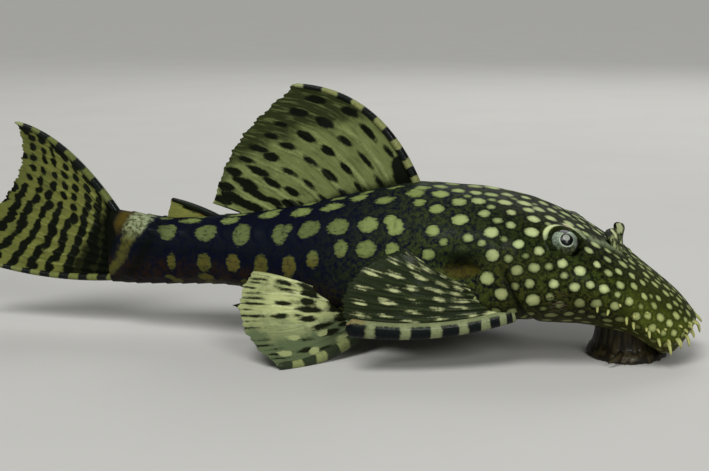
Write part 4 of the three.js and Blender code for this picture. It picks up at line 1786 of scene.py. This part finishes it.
@dataclass(frozen=True)
class MouthDisc:
    """The sucking mouth under the snout: a warted lip round a dish with two rows of teeth."""

    # the lip's near-black colour is partly painted shade, for the shade it lies in under the head, and partly
    # its own dark brown
    finish: FleshFinish = FleshFinish("lip", root=0x1A160C, tip=0x37301C)
    tooth_finish: FleshFinish = FleshFinish("tooth", root=0x8A5A2A, tip=0xC79A55)
    share: float = 0.11
    half_length: float = 7.6
    half_width: float = 9.4
    section: tuple[tuple[float, float], ...] = (
        # radius as a share of the half sizes, and height in millimetres, from the throat outwards
        (0, 2.7), (0.2, 2.5), (0.38, 1.1), (0.5, 0.1), (0.6, 0.0), (0.88, 0.0), (0.97, 0.15), (1, 0.6),
        (0.96, 1.3), (0.86, 2.3), (0.8, 5), (0.78, 6.5), (0.5, 7), (0, 7),
    )
    steps: int = 96
    columns: int = 220
    warts: int = 300
    wart_radius: float = 0.34
    wart_height: float = 0.3
    clearance: float = 0.12
    barbel: float = 4.2
    barbel_radius: float = 0.58
    barbel_steps: int = 16
    barbel_sides: int = 12
    teeth: int = 22
    tooth_row: float = 4.6
    tooth_sides: int = 5

    def build(self) -> list[Piece]:
        """Models lips, barbels and teeth.

        Returns:
            The lips with the barbels, and the teeth.
        """
        lip, tooth = self.finish.make(), self.tooth_finish.make()
        barbels = [self._disc()]
        barbels += [self._barbel(side) for side in Side]
        lips = settle(joined("mouth_lips", barbels), lip, "lips", "mouth_disc")
        return [lips, settle(joined("teeth", self._teeth()), tooth, "lips")]

    def _middle(self) -> float:
        """The x of the disc's middle."""
        return float(BODY.x_at(self.share))

    def _disc(self) -> Piece:
        """The disc, turned from its section and warted where it touches the floor.

        Returns:
            The disc.
        """
        stations = np.array(self.section)
        at = np.linspace(0, 1, len(stations))
        share = np.linspace(0, 1, self.steps)
        radius = SmoothLine(*zip(at, stations[:, 0]))(share)
        height = SmoothLine(*zip(at, stations[:, 1]))(share)
        turn = np.linspace(0, 2 * np.pi, self.columns)
        x = self._middle() + self.half_length * radius[:, None] * np.cos(turn)
        y = self.half_width * radius[:, None] * np.sin(turn)
        z = np.repeat(height[:, None], self.columns, axis=1)
        points = np.stack([x, y, z], axis=-1)
        bumps = self._warts(points)
        lower = points[..., 2] + self.clearance - bumps * self.wart_height * (share < 0.6)[:, None]
        points[..., 2] = np.maximum(lower, 0)
        swell = bumps * 0.02 * (share >= 0.45)[:, None]
        points[..., :2] += (points[..., :2] - points[:1, :, :2]) * swell[..., None]
        return grid_piece("lips", points, {"along": np.clip(bumps, 0, 1)})

    def _warts(self, points: Array) -> Array:
        """Round warts over the lip.

        Args:
            points: places on the disc.

        Returns:
            Heights from 0 to 1.
        """
        rng = np.random.default_rng(SEED + 3)
        height = np.zeros(points.shape[:2])
        for _ in range(self.warts):
            turn = rng.uniform(0, 2 * np.pi)
            radius = math.sqrt(rng.uniform(0.2, 1.0))
            x = self._middle() + self.half_length * radius * math.cos(turn)
            gap = np.hypot(points[..., 0] - x, points[..., 1] - self.half_width * radius * math.sin(turn))
            height = np.maximum(height, bell(gap, self.wart_radius))
        return height

    def _barbel(self, side: Side) -> Piece:
        """A short feeler at a corner of the mouth.

        Args:
            side: which side.

        Returns:
            The feeler.
        """
        root = vec(self._middle() - 1, side * (self.half_width - 1.2), 1.9)
        reach = np.linspace(0, 1, self.barbel_steps)
        bend = np.stack([-0.5 * reach**2, side * reach, -0.2 * reach], axis=-1)
        line = root + bend * self.barbel
        radius = self.barbel_radius * (1.05 - 0.75 * reach**1.4)
        rings = rod_rings(line, radius, radius, vec(0, 0, 1), self.barbel_sides)
        return grid_piece("barbel", rings, {"along": along_rings(self.barbel_steps, self.barbel_sides)})

    def _teeth(self) -> list[Piece]:
        """Two curved rows of fine teeth in the dish.

        Returns:
            The teeth.
        """
        made = []
        for way in (-1, 1):
            for i in range(self.teeth):
                aside = (i / (self.teeth - 1) - 0.5) * self.tooth_row
                x = self._middle() + way * (1.3 - 0.06 * aside**2)
                line = np.array([[x, aside, 2.9], [x - way * 0.15, aside, 2.2], [x - way * 0.5, aside, 1.75]])
                radius = np.array([0.11, 0.09, 0.03])
                rings = rod_rings(line, radius, radius, vec(0, 1, 0), self.tooth_sides)
                made.append(grid_piece("tooth", rings, {"along": along_rings(len(line), self.tooth_sides)}))
        return made


# Fins


@dataclass(frozen=True)
class Fin:
    """A fin of rays that fork towards the edge, with a membrane between them."""

    name: str
    node: str
    rays: int
    finish: FinFinish
    spine_finish: SpineFinish
    ray_root: float = 0.5
    ray_tip: float = 0.24
    membrane: float = 0.13
    fork: float = 0.25
    second_fork: float = 0.62
    scallop: float = 0.018
    fray: float = 0.01
    columns: int = 16
    rows: int = 110
    spine: tuple[float, float] = (1.0, 0.5)
    spine_across: Point = (0, 1, 0)
    front_root: Point = (0, 0, 0)
    rear_root: Point = (0, 0, 0)
    front_tip: Point = (0, 0, 0)
    rear_tip: Point = (0, 0, 0)
    front_bow: Point = (0, 0, 0)
    rear_bow: Point = (0, 0, 0)
    spine_rings: int = 90
    spine_sides: int = 20
    lowest: float = 0.15

    def roots(self, share: Array) -> Array:
        """Roots of the rays, from the leading one at 0 to the last at 1."""
        return mix(vec(*self.front_root), vec(*self.rear_root), share)

    def tips(self, share: Array) -> Array:
        """Tips of the rays."""
        return mix(vec(*self.front_tip), vec(*self.rear_tip), share)

    def bows(self, share: Array) -> Array:
        """How far the middles of the rays' control lines are pushed aside."""
        return mix(vec(*self.front_bow), vec(*self.rear_bow), share)

    def marks(self) -> list[Mark]:
        """The fin's marks: ray number, share along it, half length and half width."""
        raise NotImplementedError

    def build(self) -> list[Piece]:
        """Models the fin and its leading spine, in finishes of its own."""
        return self.dressed(self.finish.make(), self.spine_finish.make())

    def dressed(self, membrane: Material, horn: Material) -> list[Piece]:
        """Models the fin and its leading spine.

        Args:
            membrane: the finish of the fin.
            horn: the finish of the spine.

        Returns:
            The two pieces.
        """
        sheet = settle(self._sheet(), membrane, "fins", self.node)
        spine = settle(self._rod(self.name + "_spine", 0.0), horn, "fins")
        return [sheet, spine]

    def place(self, share: Array, reach: Array) -> Array:
        """Points in the middle of the fin's thickness.

        Args:
            share: the share across the fin, from the leading ray.
            reach: the share along the ray.

        Returns:
            An array of points in millimetres.
        """
        root, tip = self.roots(share), self.tips(share)
        middle = (root + tip) / 2 + self.bows(share)
        reach = np.asarray(reach)[..., None]
        return (1 - reach) ** 2 * root + 2 * reach * (1 - reach) * middle + reach**2 * tip

    def _sheet(self) -> Piece:
        """The membrane with its rays as ridges on both faces.

        Returns:
            The sheet with its thickness.
        """
        gaps = self.rays - 1
        u, v = np.meshgrid(
            np.linspace(0, gaps, gaps * self.columns + 1), np.linspace(0, 1, self.rows), indexing="xy"
        )
        part = u - np.floor(u)
        ragged = self.fray * (np.sin(u * 8 * np.pi + 1.3 * np.sin(u * 3.1)) * 0.5 + np.sin(u * 17.3) * 0.5)
        reach = v * (1 - 4 * self.scallop * part * (1 - part) + ragged * smooth(0.6, 1, v))
        points = self.place(u / gaps, reach)
        points[..., 2] = np.maximum(points[..., 2], self.lowest)
        step = np.linalg.norm(np.gradient(points, axis=1), axis=-1) * self.columns
        length = np.linalg.norm(self.tips(u / gaps) - self.roots(u / gaps), axis=-1)
        ridge = self._ridges(u, v, step)
        half = (self.membrane**3 + ridge**3) ** (1 / 3) * (1 - 0.55 * smooth(0.93, 1, v))
        depth, tone = self._mark_depth(u, v, step, length)
        fields = {
            "half": half,
            "along": v,
            "ridge": np.clip(ridge / self.ray_tip, 0, 1),
            "mark": depth,
            "tone": tone,
            "across": u / gaps,
        }
        sheet = grid_piece(self.name, points, fields)
        self._thicken(sheet)
        return sheet

    def _ridges(self, u: Array, v: Array, step: Array) -> Array:
        """How far the rays stand out of the fin, each of them forked twice.

        Args:
            u: the ray number at each point.
            v: the share along the ray.
            step: millimetres from one ray to the next.

        Returns:
            Half thicknesses in millimetres.
        """
        away = (u - np.rint(u)) * step
        first = 0.25 * step * smooth(0, 1, (v - self.fork) / (1 - self.fork))
        second = 0.12 * step * smooth(0, 1, (v - self.second_fork) / (1 - self.second_fork))
        radius = self.ray_root + (self.ray_tip - self.ray_root) * v**0.8
        radius = radius * (1 - 0.22 * smooth(self.fork, self.fork + 0.1, v))
        radius = radius * (1 - 0.2 * smooth(self.second_fork, self.second_fork + 0.1, v))
        best = np.zeros_like(v)
        for one in (-1, 1):
            for two in (-1, 1):
                line = one * first + two * second
                best = np.maximum(best, np.sqrt(np.maximum(0, 1 - ((away - line) / (radius * 1.15)) ** 2)))
        return best * radius

    def _mark_depth(self, u: Array, v: Array, step: Array, length: Array) -> tuple[Array, Array]:
        """How deep inside a mark each point lies.

        Args:
            u: the ray number at each point.
            v: the share along the ray.
            step: millimetres from one ray to the next.
            length: the ray's length.

        Returns:
            Depths in millimetres, below 0 outside, and the tone of the nearest mark.
        """
        depth = np.full_like(v, -2.0)
        tone = np.full_like(v, 0.5)
        for mark in self.marks():
            along = (v - mark.along) * length / mark.half_length
            across = (u - mark.around) * step / mark.half_width
            inside = (1 - np.hypot(along, across)) * min(mark.half_length, mark.half_width)
            nearer = inside > depth
            depth[nearer] = inside[nearer]
            tone[nearer] = mark.tone
        return depth, tone

    def _thicken(self, sheet: Piece) -> None:
        """Gives the sheet its two faces, as far apart as the attribute says.

        Args:
            sheet: the sheet without thickness.
        """
        mesh = sheet.data
        half = np.zeros(len(mesh.vertices), np.float32)
        mesh.attributes["half"].data.foreach_get("value", half)
        most = float(half.max())
        group = sheet.vertex_groups.new(name="half")
        levels = np.rint(half / most * THICKNESS_LEVELS).astype(int)
        for level in np.unique(levels):
            group.add(np.flatnonzero(levels == level).tolist(), level / THICKNESS_LEVELS, "REPLACE")
        deselect()
        sheet.select_set(True)
        bpy.context.view_layer.objects.active = sheet
        shell = sheet.modifiers.new("two_faces", "SOLIDIFY")
        shell.thickness = 2 * most * MM
        shell.offset = 0
        shell.vertex_group = "half"
        shell.use_rim = True
        bpy.ops.object.modifier_apply(modifier=shell.name)
        bpy.ops.object.shade_smooth()

    def _rod(self, name: str, share: float) -> Piece:
        """A stout spine along a ray.

        Args:
            name: the piece's name.
            share: where the ray is, as a share across the fin.

        Returns:
            The spine.
        """
        reach = np.linspace(0, 1, self.spine_rings)
        line = self.place(np.full(self.spine_rings, share), reach)
        root, tip = self.spine
        radius = root + (tip - root) * reach**1.5
        radius = radius * (1 - 0.6 * smooth(0.97, 1, reach))
        rings = rod_rings(line, radius, radius * 0.8, vec(*self.spine_across), self.spine_sides)
        rings[..., 2] = np.maximum(rings[..., 2], 0.0)
        turn = np.linspace(0, 2 * np.pi, self.spine_sides + 1)
        upper = np.repeat(np.cos(turn)[None], self.spine_rings + 2, axis=0)
        fields = {"along": along_rings(self.spine_rings, self.spine_sides), "upper": upper}
        return grid_piece(name, rings, fields)


@dataclass(frozen=True)
class MarkRows:
    """Rows of marks that cross a fin: where each row starts, how it slants and how its marks vary."""

    rows: tuple[float, ...]
    pitch: float
    half_length: float
    half_width: float
    seed: int
    start: float = 0.0
    slant: float = 0.0
    ripple: float = 0.0
    jitter: float = 0.012
    keep: float = 0.95

    def laid(self, rays: int) -> list[Mark]:
        """Lays the marks over a fin.

        Args:
            rays: the number of its rays.

        Returns:
            The marks.
        """
        rng = np.random.default_rng(self.seed)
        marks = []
        for number, row in enumerate(self.rows):
            at = self.start + rng.uniform(-0.1, 0.3)
            while at < rays - 0.9:
                wave = self.ripple * math.sin(1.9 * at + 2.3 * number)
                along = row + self.slant * at / (rays - 1) + wave + rng.normal(0, self.jitter)
                size = rng.uniform(0.8, 1.2)
                wide = self.half_width * rng.uniform(0.8, 1.2)
                if rng.uniform() < self.keep and along < 1:
                    marks.append(Mark(along, at, self.half_length * size, wide, rng.uniform()))
                at += self.pitch * rng.uniform(0.85, 1.15)
        return marks


@dataclass(frozen=True)
class DorsalFin(Fin):
    """The tall sail on the back."""

    name: str = "dorsal_sail"
    node: str = "dorsal_fin"
    rays: int = 8
    finish: FinFinish = FinFinish(
        "dorsal_membrane", streaks=0.45, tip_slant=0.6, tip_from=0.38, tip_full=0.6
    )
    spine_finish: SpineFinish = SpineFinish(
        "dorsal_spine", cream=0x7E8250, bands=7.35, bunch=0.6, dark_share=0.55, shift=2.98
    )
    spine: tuple[float, float] = (1.05, 0.5)
    rows: int = 130
    front_x: float = 4.2
    rear_x: float = -28.5
    front_tip: Point = (-21.4, 0, 50.7)
    rear_tip: Point = (-38.2, 0, 26.6)
    front_bow: Point = (5, 0, 9.7)
    sunk: float = 1.6
    edge_bow: float = 2.8
    sway: float = 1.4

    def roots(self, share: Array) -> Array:
        """Roots along the back."""
        x = self.front_x + (self.rear_x - self.front_x) * share
        return np.stack([x, 0 * x, BODY.back_at(x) - self.sunk], axis=-1)

    def tips(self, share: Array) -> Array:
        """Tips along the sloping edge.

        Args:
            share: the share across the fin.

        Returns:
            The tips.
        """
        middle = np.sin(np.pi * share)
        tip = super().tips(share**0.9)
        out = [-self.edge_bow * middle, self.sway * middle, 0.5 * self.edge_bow * middle]
        return tip + np.stack(out, axis=-1)

    def bows(self, share: Array) -> Array:
        """The leading rays curve back."""
        return vec(*self.front_bow) * ((1 - share) ** 1.4)[..., None]

    def marks(self) -> list[Mark]:
        """Dark dashes, one to a ray, in rows that climb towards the last ray.

        Returns:
            The dashes and three blotches near the root.
        """
        marks = [
            Mark(0.1, 0.25, 3.2, 2.4, 0.5),
            Mark(0.14, 5.1, 2.2, 1.3, 0.5),
            Mark(0.33, 6.35, 1.9, 1.2, 0.5),
        ]
        rows = (
            # share along the spine, how far it climbs to the last ray, half length, half width
            (0.07, 0.03, 1.4, 0.65),
            (0.23, 0.06, 1.8, 0.72),
            (0.4, 0.12, 2.1, 0.85),
            (0.59, 0.14, 2.1, 0.9),
            (0.79, 0.1, 1.8, 0.85),
        )
        for number, (row, climb, long, wide) in enumerate(rows):
            line = MarkRows((row,), 0.82, long, wide, 31 + number, start=0.42, slant=climb, keep=1)
            for mark in line.laid(self.rays):
                rear = float(smooth(0.4, 0.8, mark.around / self.rays))
                longer = mark.half_length * (1 + 0.45 * rear)
                wider = mark.half_width * (1 + 0.1 * rear)
                marks.append(Mark(mark.along, mark.around, longer, wider, mark.tone))
        return marks


@dataclass(frozen=True)
class CaudalFin(Fin):
    """The tail fin, with a spine along each edge."""

    name: str = "tail_fan"
    node: str = "caudal_fin"
    rays: int = 12
    finish: FinFinish = FinFinish(
        "caudal_membrane", ground=0x666A32, ray=0x787D42, tip_share=0.15, root=0x060704, root_until=0.17,
        root_slant=0.24,
    )
    spine_finish: SpineFinish = SpineFinish("caudal_spine", cream=0x5E6534, bands=6, dark_share=0.5)
    lower_finish: SpineFinish = SpineFinish(
        "caudal_lower_spine", cream=0x6A6F3A, bands=8.9, shift=2.26, dark_share=0.5
    )
    spine: tuple[float, float] = (0.95, 0.45)
    columns: int = 12
    front_root: Point = (-58.5, 0, 23.6)
    rear_root: Point = (-58.5, 0, 10.6)
    front_tip: Point = (-80.8, 0, 42.2)
    rear_tip: Point = (-97, 0, 14.6)
    front_bow: Point = (0, 0, 7)
    rear_bow: Point = (0, 0, -4)
    notch: float = 5.5
    sway: float = 2.4
    first_row: float = 0.1
    bars: int = 9
    blotches: int = 6

    def dressed(self, membrane: Material, horn: Material) -> list[Piece]:
        """Models the fin and both its spines.

        Args:
            membrane: the finish of the fin.
            horn: the finish of the upper spine.

        Returns:
            The three pieces.
        """
        pieces = super().dressed(membrane, horn)
        lower = self._rod(self.name + "_lower_spine", 1.0)
        return [*pieces, settle(lower, self.lower_finish.make(), "fins")]

    def tips(self, share: Array) -> Array:
        """Tips along the hollowed rear edge."""
        by = [self.notch * np.sin(np.pi * share**0.85), self.sway * np.sin(np.pi * share * 0.9), 0 * share]
        return super().tips(share) + np.stack(by, axis=-1)

    def marks(self) -> list[Mark]:
        """Rows of dots that run together into bars in the lower half, and blotches on the upper edge.

        Returns:
            The marks.
        """
        dots = [Mark(along, 0.35, 1.5, 1.3, 0.5) for along in np.linspace(0.1, 0.94, self.blotches)]
        places = tuple(np.linspace(self.first_row, 1.0, self.bars))
        rows = MarkRows(places, 0.85, 0.95, 0.98, 41, ripple=0.008, jitter=0.005, keep=1.0)
        for mark in rows.laid(self.rays):
            low = float(smooth(0.42, 0.62, mark.around / (self.rays - 1)))
            wide = mark.half_width * (1 + 1.4 * low)
            zigzag = 0.014 * low * math.sin(mark.around * 2.1)
            dots.append(Mark(mark.along + zigzag, mark.around, mark.half_length, wide, mark.tone))
        return dots


@dataclass(frozen=True)
class AnalFin(Fin):
    """The small fin behind the vent."""

    name: str = "anal_fan"
    node: str = "anal_fin"
    rays: int = 5
    finish: FinFinish = FinFinish("anal_membrane")
    spine_finish: SpineFinish = SpineFinish("anal_spine", bands=3)
    ray_root: float = 0.4
    spine: tuple[float, float] = (0.5, 0.3)
    rows: int = 40
    front_x: float = -20.0
    rear_x: float = -24.5
    sunk: float = 1.4
    front_tip: Point = (-29.5, 0, 3.2)
    rear_tip: Point = (-34.5, 0, 5.6)
    front_bow: Point = (0.6, 0, -0.7)
    rear_bow: Point = (0.6, 0, -0.7)

    def roots(self, share: Array) -> Array:
        """Roots along the belly."""
        x = self.front_x + (self.rear_x - self.front_x) * share
        return np.stack([x, 0 * x, BODY.belly_at(x) + self.sunk], axis=-1)

    def marks(self) -> list[Mark]:
        """A few dashes."""
        return MarkRows((0.4, 0.7), 0.9, 0.9, 0.35, 61).laid(self.rays)


@dataclass(frozen=True)
class AdiposeFin(Fin):
    """The small fin with a stout spine between dorsal and tail fin."""

    name: str = "adipose_flag"
    node: str = "adipose_fin"
    rays: int = 2
    finish: FinFinish = FinFinish(
        "adipose_membrane", ground=0x7E8040, ray=0x8C8E50, root=0x6A4A20, root_until=0.45, tip_share=0.2
    )
    spine_finish: SpineFinish = SpineFinish(
        "adipose_spine", cream=0x15170C, tip=0x15170C, bands=1.2, dark_share=0.4, dark_top=1.0
    )
    ray_root: float = 0.3
    ray_tip: float = 0.2
    spine: tuple[float, float] = (0.8, 0.4)
    spine_across: Point = (0, 0, 1)
    rows: int = 40
    columns: int = 24
    root_x: float = -37.2
    foot_x: float = -39.2
    tip_x: float = -47.0
    end_x: float = -48.6
    rise: float = 3.8
    root_sunk: float = 0.5
    foot_sunk: float = 1.6
    end_sunk: float = 1.2
    front_bow: Point = (0, 0, 0.6)
    rear_bow: Point = (0, 0, -0.3)

    def _on_back(self, x: float, lift: float) -> Array:
        """A point over the back."""
        return vec(x, 0, float(BODY.back_at(np.array(x))) + lift)

    def roots(self, share: Array) -> Array:
        """The spine's root, and the membrane's foot."""
        root = self._on_back(self.root_x, -self.root_sunk)
        return mix(root, self._on_back(self.foot_x, -self.foot_sunk), share)

    def tips(self, share: Array) -> Array:
        """The spine's tip, and the membrane's end on the back."""
        tip = self._on_back(self.tip_x, self.rise)
        return mix(tip, self._on_back(self.end_x, -self.end_sunk), share)

    def marks(self) -> list[Mark]:
        """One dark patch under the spine."""
        return [Mark(0.55, 0.1, 2.4, 0.7, 0.4)]


@dataclass(frozen=True)
class PairedFin(Fin):
    """A pectoral or pelvic fin, given for the left side and mirrored for the right."""

    spine_across: Point = (0, 0, 1)
    side: Side = Side.LEFT
    edge_bow: float = 5.0

    def _flip(self, points: Array) -> Array:
        """Mirrors points for the right side."""
        return points * vec(1, self.side, 1)

    def roots(self, share: Array) -> Array:
        """Roots of the rays."""
        return self._flip(super().roots(share))

    def tips(self, share: Array) -> Array:
        """Tips along the rounded edge.

        Args:
            share: the share across the fin.

        Returns:
            The tips.
        """
        root, tip = super().roots(share), super().tips(share)
        out = unit(tip - root) * (self.edge_bow * np.sin(np.pi * share))[..., None]
        return self._flip(tip + out)

    def bows(self, share: Array) -> Array:
        """How the rays bend."""
        return self._flip(super().bows(share))


@dataclass(frozen=True)
class PectoralFin(PairedFin):
    """The dark fin behind the gill cover, folded back over its stout banded spine."""

    rays: int = 7
    finish: FinFinish = FinFinish(
        "pectoral_membrane", ground=0x11160A, ray=0x343C22, marks=0xB6BB88, tip=0x161B0C,
        root=0x2C331B, lead=0x6C7556, lead_until=0.08, pattern=Pattern.PALE_MARKS,
    )
    spine_finish: SpineFinish = SpineFinish(
        "pectoral_spine", dark=0x03050E, cream=0x7C845E, bands=6.9, bunch=0.65, shift=2.97, dark_share=0.84,
        root_share=0.52, strip=0.85, tip=0x8A8054,
    )
    spine: tuple[float, float] = (1.35, 1.7)
    front_root: Point = (24.5, 16.2, 10.2)
    rear_root: Point = (16.4, 17, 15)
    front_tip: Point = (-4.8, 26.5, 8.9)
    rear_tip: Point = (4.5, 18.2, 22.3)
    front_bow: Point = (1, 2.4, -3)
    rear_bow: Point = (0, 4.6, 0.4)
    edge_bow: float = 5.2

    def marks(self) -> list[Mark]:
        """Pale dashes, each with a fine line beside it, and one pale patch at the spine's root.

        Returns:
            The marks.
        """
        places = (0.08, 0.23, 0.39, 0.56, 0.74, 0.9)
        rows = MarkRows(places, 0.95, 0.95, 0.24, 51 + self.side, slant=-0.02, jitter=0.02)
        pale = rows.laid(self.rays)
        pale += [Mark(m.along + 0.02, m.around + 0.2, 0.7 * m.half_length, 0.12, m.tone) for m in pale]
        return [*pale, Mark(0.05, 0.9, 2.6, 0.9, 0.0)]


@dataclass(frozen=True)
class PelvicFin(PairedFin):
    """The pale fin under the trunk, which the fish rests on by the tip of its spine."""

    rays: int = 6
    finish: FinFinish = FinFinish(
        "pelvic_membrane", ground=0xA9B078, ray=0xCDD2A0, marks=0x12140A, tip=0x4A5030, tip_share=0.3,
        root=0x1C200F, root_until=0.2, cloud=0.55, lead=0x545F42, lead_until=0.42,
    )
    spine_finish: SpineFinish = SpineFinish(
        "pelvic_spine", dark=0x2C3424, cream=0x838A58, bands=4.5, dark_share=0.6
    )
    spine: tuple[float, float] = (1.3, 0.6)
    front_root: Point = (-2.4, 8, 6.8)
    rear_root: Point = (-7.4, 8.4, 8.6)
    front_tip: Point = (-17.6, 26.5, 0.8)
    rear_tip: Point = (-26, 13.6, 15.8)
    front_bow: Point = (1, 0.8, -4.4)
    rear_bow: Point = (0, 2.6, 3)

    def marks(self) -> list[Mark]:
        """Dark dashes, short and close along the edge, and pale blobs beside the spine.

        Returns:
            The marks.
        """
        rows = (
            MarkRows((0.2, 0.43), 0.55, 2.1, 0.7, 71 + self.side, jitter=0.03, keep=0.9),
            MarkRows((0.66,), 0.6, 2.0, 0.55, 76 + self.side, jitter=0.03, keep=0.8),
            MarkRows((0.92,), 0.26, 2.2, 0.22, 81 + self.side, jitter=0.015),
            MarkRows((0.54,), 0.75, 1.7, 0.45, 91 + self.side, start=0.4, jitter=0.05, keep=0.75),
        )
        dark = [mark for row in rows for mark in row.laid(self.rays)]
        blobs = ((0.34, 0.5), (0.42, 1.3), (0.62, 0.55), (0.68, 1.5), (0.84, 0.7))
        return dark + [Mark(along, around, 1.5, 0.75, 2.0) for along, around in blobs]


@dataclass(frozen=True)
class PairedFins:
    """The pectoral and pelvic fins of both sides. The two of a pair share their finishes."""

    names: tuple[str, str] = ("pectoral", "pelvic")

    def build(self) -> list[Piece]:
        """Models all four with their spines.

        Returns:
            The pieces.
        """
        kinds = (PectoralFin, PelvicFin)
        looks = [(kind.finish.make(), kind.spine_finish.make()) for kind in kinds]
        pieces = []
        for side in Side:
            for name, kind, look in zip(self.names, kinds, looks):
                fin = kind(f"{name}_fan_{side.label}", f"{name}_fin_{side.label}", side=side)
                pieces += fin.dressed(*look)
        return pieces


# The studio


@dataclass(frozen=True)
class Studio:
    """A pale floor, soft lights and the camera."""

    azimuth: float = 12.0
    elevation: float = 10.0
    camera_place: Point = (0.06553, -0.26137, 0.06816)
    focal_pixels: float = 1362.18
    image_width: float = 709.0
    sensor: float = 36.0
    nearest: float = 0.01
    farthest: float = 100.0
    floor_size: float = 90.0
    floor_finish: FloorFinish = FloorFinish()
    key_from: Point = (-0.15, -0.55, 0.85)
    fill_place: Point = (0.45, -0.7, 0.45)
    rim_place: Point = (0.1, 0.7, 0.6)
    aim: Point = (0, 0, 0.02)
    sky: tuple[float, float, float] = (0.8, 0.82, 0.85)
    sky_strength: float = 0.17

    def build(self) -> list[Piece]:
        """Sets everything up.

        Returns:
            The floor.
        """
        material = self.floor_finish.make()
        deselect()
        bpy.ops.mesh.primitive_plane_add(size=self.floor_size, location=(0, 0, 0))
        floor = bpy.context.object
        floor.name = "floor"
        floor.data.materials.append(material)
        sun = self._lamp("key", "SUN", self.key_from, 2.0)
        sun.angle = 0.5
        self._lamp("fill", "AREA", self.fill_place, 3.4).size = 0.3
        self._lamp("rim", "AREA", self.rim_place, 2.0).size = 0.5
        self._world()
        self._camera()
        return [floor]

    def _world(self) -> None:
        """An even grey light from all round, and colours as they are."""
        world = bpy.context.scene.world or bpy.data.worlds.new("world")
        bpy.context.scene.world = world
        world.use_nodes = True
        background = world.node_tree.nodes["Background"]
        background.inputs["Color"].default_value = (*self.sky, 1)
        background.inputs["Strength"].default_value = self.sky_strength
        bpy.context.scene.view_settings.view_transform = "Standard"

    def _lamp(self, name: str, kind: str, place: Point, power: float) -> bpy.types.Light:
        """A lamp that faces the fish.

        Args:
            name: the lamp's name.
            kind: SUN for even light from one direction, or AREA for a soft square.
            place: where it hangs.
            power: its strength, in watts for an area.

        Returns:
            The lamp's data, whose width is still to be set.
        """
        data = bpy.data.lights.new(name, kind)
        data.energy = power
        lamp = bpy.data.objects.new(name, data)
        lamp.location = place
        aim = Vector((0, 0, 0)) if kind == "SUN" else Vector(self.aim)
        lamp.rotation_euler = (aim - Vector(place)).to_track_quat("-Z", "Y").to_euler()
        bpy.context.scene.collection.objects.link(lamp)
        return data

    def _camera(self) -> None:
        """The camera, where the photograph was taken from."""
        a, e = math.radians(self.azimuth), math.radians(self.elevation)
        back = Vector((math.sin(a) * math.cos(e), -math.cos(a) * math.cos(e), math.sin(e)))
        up = Vector((-math.sin(a) * math.sin(e), math.cos(a) * math.sin(e), math.cos(e)))
        right = up.cross(back)
        data = bpy.data.cameras.new("camera")
        data.sensor_fit = "HORIZONTAL"
        data.sensor_width = self.sensor
        data.lens = self.focal_pixels / self.image_width * self.sensor
        data.clip_start = self.nearest
        data.clip_end = self.farthest
        camera = bpy.data.objects.new("camera", data)
        turn = Matrix((right, up, back)).transposed().to_4x4()
        camera.matrix_world = Matrix.Translation(Vector(self.camera_place)) @ turn
        bpy.context.scene.collection.objects.link(camera)
        bpy.context.scene.camera = camera


def main() -> None:
    """Builds the fish and the studio in order, and reports each piece."""
    logging.basicConfig(level=logging.INFO, format="%(message)s")
    eye = Eye()
    nostril = Nostril()
    body = (Skin(eye=eye, nostril=nostril), eye, nostril, Bristles(), MouthDisc())
    fins = (DorsalFin(), CaudalFin(), AnalFin(), AdiposeFin(), PairedFins())
    for assembly in (*body, *fins, Studio()):
        for piece in assembly.build():
            log.info("%s: %s, %d vertices", type(assembly).__name__, piece.name, len(piece.data.vertices))


if __name__ == "__main__":
    main()
